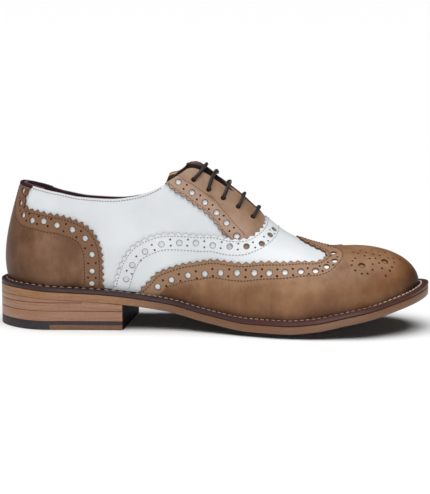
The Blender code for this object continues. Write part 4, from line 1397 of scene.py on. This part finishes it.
def make_lace(number, bar):
    path = lace_line(*bar)
    for _ in range(LACE_EASING):
        path[1:-1] = (path[:-2] + 2 * path[1:-1] + path[2:]) / 4
    rings = tube(path, LACE / 2, LACE_SIDES)
    rings = np.concatenate([rings, rings[:, :1]], axis=1)
    caps = [np.repeat(rings[i].mean(axis=0)[None], LACE_SIDES + 1, axis=0) for i in (0, -1)]
    piece = loft(f"lace_{number}", np.concatenate([caps[:1], rings, caps[1:]]))
    dress(piece, LACE_COTTON, "lace_cotton", f"lace_bar_{number}")


# The bottom

SHARES = np.array((0.0, 0.2, 0.4, 0.6, 0.8, 0.93))   # where a plate has points, from spine to edge
SOLE_SOFT = 0.35         # how far the plates' edges are softened
SOCK_SOFT = 0.6
EDGE_IN = 0.3
UNDERSIDE = -0.85        # a face that looks down more than this is on the underside


def plate(name, stations, reach_of, top_of, bottom_of, soft, skew=0.0):
    """A plate under the foot, with softened edges: a closed loop of points at each station."""
    halves = []
    for side in SIDES:
        edge = reach_of(stations, side)
        low = bottom_of(stations, side, edge - soft)
        high = top_of(stations, side, edge - soft)
        line = [(edge * s, bottom_of(stations, side, edge * s)) for s in SHARES]
        line += [(edge - soft, low), (edge - EDGE_IN * soft, low + EDGE_IN * soft), (edge, low + soft),
                 (edge, high - soft), (edge - EDGE_IN * soft, high - EDGE_IN * soft), (edge - soft, high)]
        line += [(edge * s, top_of(stations, side, edge * s)) for s in SHARES[::-1]]
        halves.append(np.stack([np.stack([*in_plan(stations, side, r), z + 0 * r], -1) for r, z in line], 1))
    rows = np.concatenate([halves[0], halves[1][:, ::-1]], axis=1)
    rows[..., 0] += skew * np.clip(stations / BREAST, 0, None)[:, None] * rows[..., 1]
    return loft(name, rows)


def level(height):
    return lambda station, side, reach: np.full(np.shape(reach), height)


def under_sole(station, side, reach):
    return along_row("tread", station, side, reach) - HEEL_SEAM


def insole_top(station, side, reach):
    return welt_top(station, side, reach) + GAP + INSOLE_RISE


def insole_reach(station, side):
    return feather_reach(station, side) - WELT_UNDER - GAP


def make_outsole():
    outsole = plate("outsole_leather", FINE_STATIONS, sole_reach, outsole_top, tread_surface, SOLE_SOFT)
    dress(outsole, SOLE_LEATHER, "sole_leather", "outsole")
    outsole.data.materials.append(SOLE_STAIN)
    for face in outsole.data.polygons:
        face.material_index = int(face.normal.z < UNDERSIDE)
    dress(plate("sock_lining", FINE_STATIONS, insole_reach, insole_top, welt_bottom, SOCK_SOFT),
          SOCK_LEATHER, "insole_leather", "insole")


WELT_SEAM = 2.5          # stitch row's distance from the upper
WELT_SEAM_TOE = 1.8      # and how much more of it at the toe
WELT_TOE = 225           # where that starts
WELT_GROOVE = 0.4
WELT_STITCH_SUNK = 0.05
WELT_JOIN = 60.0         # behind it the stitches are longer
WELT_JOIN_OVER = 3       # how far the two rows overlap there
WELT_STITCH = (4.0, 3.3, 0.42)   # pitch, length and radius
HEEL_STITCH = (5.2, 3.7, 0.34)


def make_welt():
    rows = []
    lines = []
    heel_lines = []
    for side in SIDES:
        stations = FINE_STATIONS[::-side]
        outer = sole_reach(stations, side)
        feather = feather_reach(stations, side)
        seat = feather + WELT_SEAM + WELT_SEAM_TOE * rising(stations, WELT_TOE, TOE_END)

        def at(reach, height_of, lift=0.0):
            return np.stack([*in_plan(stations, side, reach), height_of(stations, side, reach) + lift], -1)

        # Its section: outer edge, top with the stitch groove, bead against the upper, underside
        rows.append(np.stack([
            at(outer - 0.5, welt_bottom), at(outer, welt_bottom, 0.5), at(outer, welt_top, -0.9),
            at(outer - 0.3, welt_top, -0.25), at(outer - 0.9, welt_top), at(seat + 1.0, welt_top),
            at(seat, welt_top, -WELT_GROOVE), at(seat - 1.0, welt_top), at(feather + 1.0, welt_top, 0.05),
            at(feather + 0.4, welt_top, 0.55), at(feather + 0.05, welt_top, 0.75),
            at(feather, welt_top, 0.2), at(feather - WELT_UNDER, welt_top),
            at(feather - WELT_UNDER, welt_bottom), at(outer - 0.5, welt_bottom)], 1))
        line = at(seat, welt_top, -WELT_STITCH_SUNK)
        fore = stations > WELT_JOIN - WELT_JOIN_OVER
        for seams, part in ((heel_lines, stations < WELT_JOIN), (lines, fore)):
            seams.append((line[part], np.tile((0.0, 0.0, 1.0), (part.sum(), 1))))
    dress(loft("welt_ring", np.concatenate(rows)), WELT_LEATHER, "welt_leather", "welt")
    dress(threads("welt_stitching", lines, *WELT_STITCH), WELT_THREAD, "lace_cotton")
    dress(threads("heel_seat_stitching", heel_lines, *HEEL_STITCH), HEEL_THREAD, "lace_cotton")


def carve(piece, low, high, operation):
    """Cut a piece with a box."""
    bpy.ops.object.select_all(action="DESELECT")
    low, high = to_part(low), to_part(high)
    bpy.ops.mesh.primitive_cube_add(size=1.0, location=(low + high) / 2)
    block = bpy.context.object
    block.scale = high - low
    bpy.context.view_layer.objects.active = piece
    step = piece.modifiers.new("carve", "BOOLEAN")
    step.operation = operation
    step.object = block
    bpy.ops.object.modifier_apply(modifier=step.name)
    bpy.data.objects.remove(block)
    bpy.ops.object.select_all(action="DESELECT")
    piece.select_set(True)
    bpy.ops.object.shade_smooth_by_angle(angle=SHARP_ANGLE)


HEEL_SOFT = 0.3
HEEL_SEAM = 0.05         # the outsole and the heel are glued close
HEEL_JOINT = 0.1         # the fine line between the top piece and the stack
FAR = 90.0               # past the heel on every side
BREAST_LOOK = 0.8        # a face that looks forward more than this is on the heel's front
BREAST_FROM = WEDGE_END + 10


def shade_breast(piece):
    """The heel's front face is painted near black, as painted shade."""
    piece.data.materials.append(BREAST_SHADE)
    for face in piece.data.polygons:
        if face.normal.x > BREAST_LOOK and face.center.x > (BREAST_FROM - HEEL_REST_X) * MM:
            face.material_index = 1


def heel_layer(name, stations, top_of, bottom_of):
    """One layer of the heel: as wide as the sole, its front a little askew."""
    return plate(name, stations, sole_reach, top_of, bottom_of, HEEL_SOFT, BREAST_SKEW)


def second_top(station, side, reach):
    """Top of the second lift: level under the wedge, and up to the sole in front of it."""
    return np.where(station < WEDGE_END + HEEL_SEAM / 2, LIFT_2, under_sole(station, side, reach))


def make_heel():
    heel = between(HEEL_END, BREAST)
    rear = between(HEEL_END, WEDGE_END)
    stepped = np.concatenate([rear, between(WEDGE_END + HEEL_SEAM, BREAST)])
    rubber = heel_layer("heel_rubber_piece", heel, level(RUBBER), level(0.0))
    carve(rubber, (INSERT_X, -FAR, -FAR), (FAR, FAR, INSERT), "DIFFERENCE")
    dress(rubber, HEEL_RUBBER, "heel_rubber", "heel_top_rubber")
    insert = heel_layer("heel_leather_insert", heel, level(INSERT - HEEL_JOINT), level(0.0))
    carve(insert, (INSERT_X + HEEL_JOINT, -FAR, -FAR), (FAR, FAR, FAR), "INTERSECT")
    dress(insert, INSERT_LEATHER, "sole_leather", "heel_top_leather")
    first = heel_layer("heel_stack_1", heel, level(LIFT_1), level(RUBBER + HEEL_JOINT))
    dress(first, HEEL_LEATHER, "heel_leather", "heel_lift_1")
    second = heel_layer("heel_stack_2", stepped, second_top, level(LIFT_1 + GAP))
    dress(second, HEEL_LEATHER, "heel_leather", "heel_lift_2")
    third = heel_layer("heel_stack_3", rear, under_sole, level(LIFT_2 + GAP))
    dress(third, HEEL_LEATHER, "heel_leather", "heel_lift_3")
    for piece in (rubber, insert, first, second):
        shade_breast(piece)


make_wing()
make_backing()
make_vamp()
make_counter()
for which in SIDES:
    make_facing(which)
make_quarters()
make_collar()
make_tongue()
for count, bar in enumerate(LACE_BARS, 1):
    make_lace(count, bar)
# Stitching: the lines of each kind, and the pitch, length and radius of its stitches
for name, lines, stitch, sewn in (
        ("dark_stitching", dark_seams, (2.3, 1.9, 0.34), DARK_THREAD),
        ("facing_stitching", facing_seams, (2.1, 1.8, 0.26), FACING_THREAD),
        ("collar_stitching", collar_seams, (1.9, 1.75, 0.28), COLLAR_THREAD),
        ("pale_stitching", pale_seams, (2.3, 1.9, 0.26), PALE_THREAD)):
    dress(threads(name, lines, *stitch), sewn, "lace_cotton")
# Painted shadow: fine dark beads along cut edges and round holes, partly the edges' own darker colour
dress(shadow_beads("tan_painted_edge_shadow", tan_painted_shadows, TAN_SHADOW_RADIUS), DARK_EDGE_SHADOW, "tan_leather")
dress(shadow_beads("white_painted_edge_shadow", white_edge_painted_shadows, WHITE_SHADOW_RADIUS), PALE_EDGE_SHADOW, "white_leather")
dress(shadow_beads("white_painted_hole_shadow", white_rim_painted_shadows, WHITE_SHADOW_RADIUS), GREY_HOLE_SHADOW, "white_leather")
# Painted shadow: dark and grey discs in the small holes
dress(hole_bottoms("tan_pinhole_shadow_discs", tan_pinhole_shadows, PINHOLE_DEEP), DARK_HOLE_SHADOW, "tan_leather")
dress(hole_bottoms("white_pinhole_shadow_discs", white_pinhole_shadows, PINHOLE_DEEP), GREY_HOLE_SHADOW, "white_leather")
# Painted light: the white in the tan panels' large holes, brighter than the white calf
dress(hole_bottoms("painted_lit_white_discs", painted_lit_holes, HOLE_DEEP), PAINTED_LIT_WHITE, "white_leather")
dress(hole_bottoms("vamp_hole_white_discs", vamp_white_holes, PINHOLE_DEEP), WHITE_CALF, "white_leather")
make_outsole()
make_welt()
make_heel()


# Studio

FLOOR_SIZE = 60.0
SKY_LIGHT = 0.03
SHOE_MIDDLE = np.array((0.1, 0.0, 0.05))
SENSOR_MM = 36.0
LENS_MM = 132.9


def make_floor():
    bpy.ops.object.select_all(action="DESELECT")
    bpy.ops.mesh.primitive_plane_add(size=FLOOR_SIZE)
    floor = bpy.context.object
    floor.name = "studio_floor"
    made, tree = finish("studio_white")
    surface(tree, Base_Color=linear("fcfcfc"), Roughness=0.9)
    floor.data.materials.append(made)


def make_light(name, kind, place, energy, **shape):
    """A lamp aimed at the middle of the shoe."""
    lamp = bpy.data.lights.new(name, kind)
    lamp.energy = energy
    for setting, value in shape.items():
        setattr(lamp, setting, value)
    light = bpy.data.objects.new(name, lamp)
    light.location = place
    away = np.array(place) - SHOE_MIDDLE
    light.rotation_euler = (math.acos(away[2] / np.linalg.norm(away)), 0,
                            math.atan2(away[1], away[0]) + math.pi / 2)
    bpy.context.scene.collection.objects.link(light)


VIEW_AZIMUTH = math.radians(4)
VIEW_ELEVATION = math.radians(9.5)
VIEW_DISTANCE = 1.3
VIEW_TARGET = np.array((0.0884, 0.0, 0.055))


def make_camera():
    lens = bpy.data.cameras.new("camera")
    lens.sensor_width = SENSOR_MM
    lens.lens = LENS_MM
    camera = bpy.data.objects.new("camera", lens)
    back = (math.sin(VIEW_AZIMUTH) * math.cos(VIEW_ELEVATION),
            -math.cos(VIEW_AZIMUTH) * math.cos(VIEW_ELEVATION), math.sin(VIEW_ELEVATION))
    camera.location = VIEW_TARGET + VIEW_DISTANCE * np.array(back)
    camera.rotation_euler = (math.pi / 2 - VIEW_ELEVATION, 0, VIEW_AZIMUTH)
    bpy.context.scene.collection.objects.link(camera)
    bpy.context.scene.camera = camera


make_floor()
make_light("overhead", "SUN", (0.0, -0.2, 1.3), 3.35, angle=math.radians(70))
make_light("front", "AREA", (0.6, -2.25, 0.12), 10, shape="RECTANGLE", size=1.4, size_y=0.28)
sky = bpy.data.worlds.new("studio")
bpy.context.scene.world = sky
sky.use_nodes = True
sky.node_tree.nodes["Background"].inputs["Color"].default_value = (1, 1, 1, 1)
sky.node_tree.nodes["Background"].inputs["Strength"].default_value = SKY_LIGHT
bpy.context.scene.view_settings.view_transform = "Standard"
make_camera()
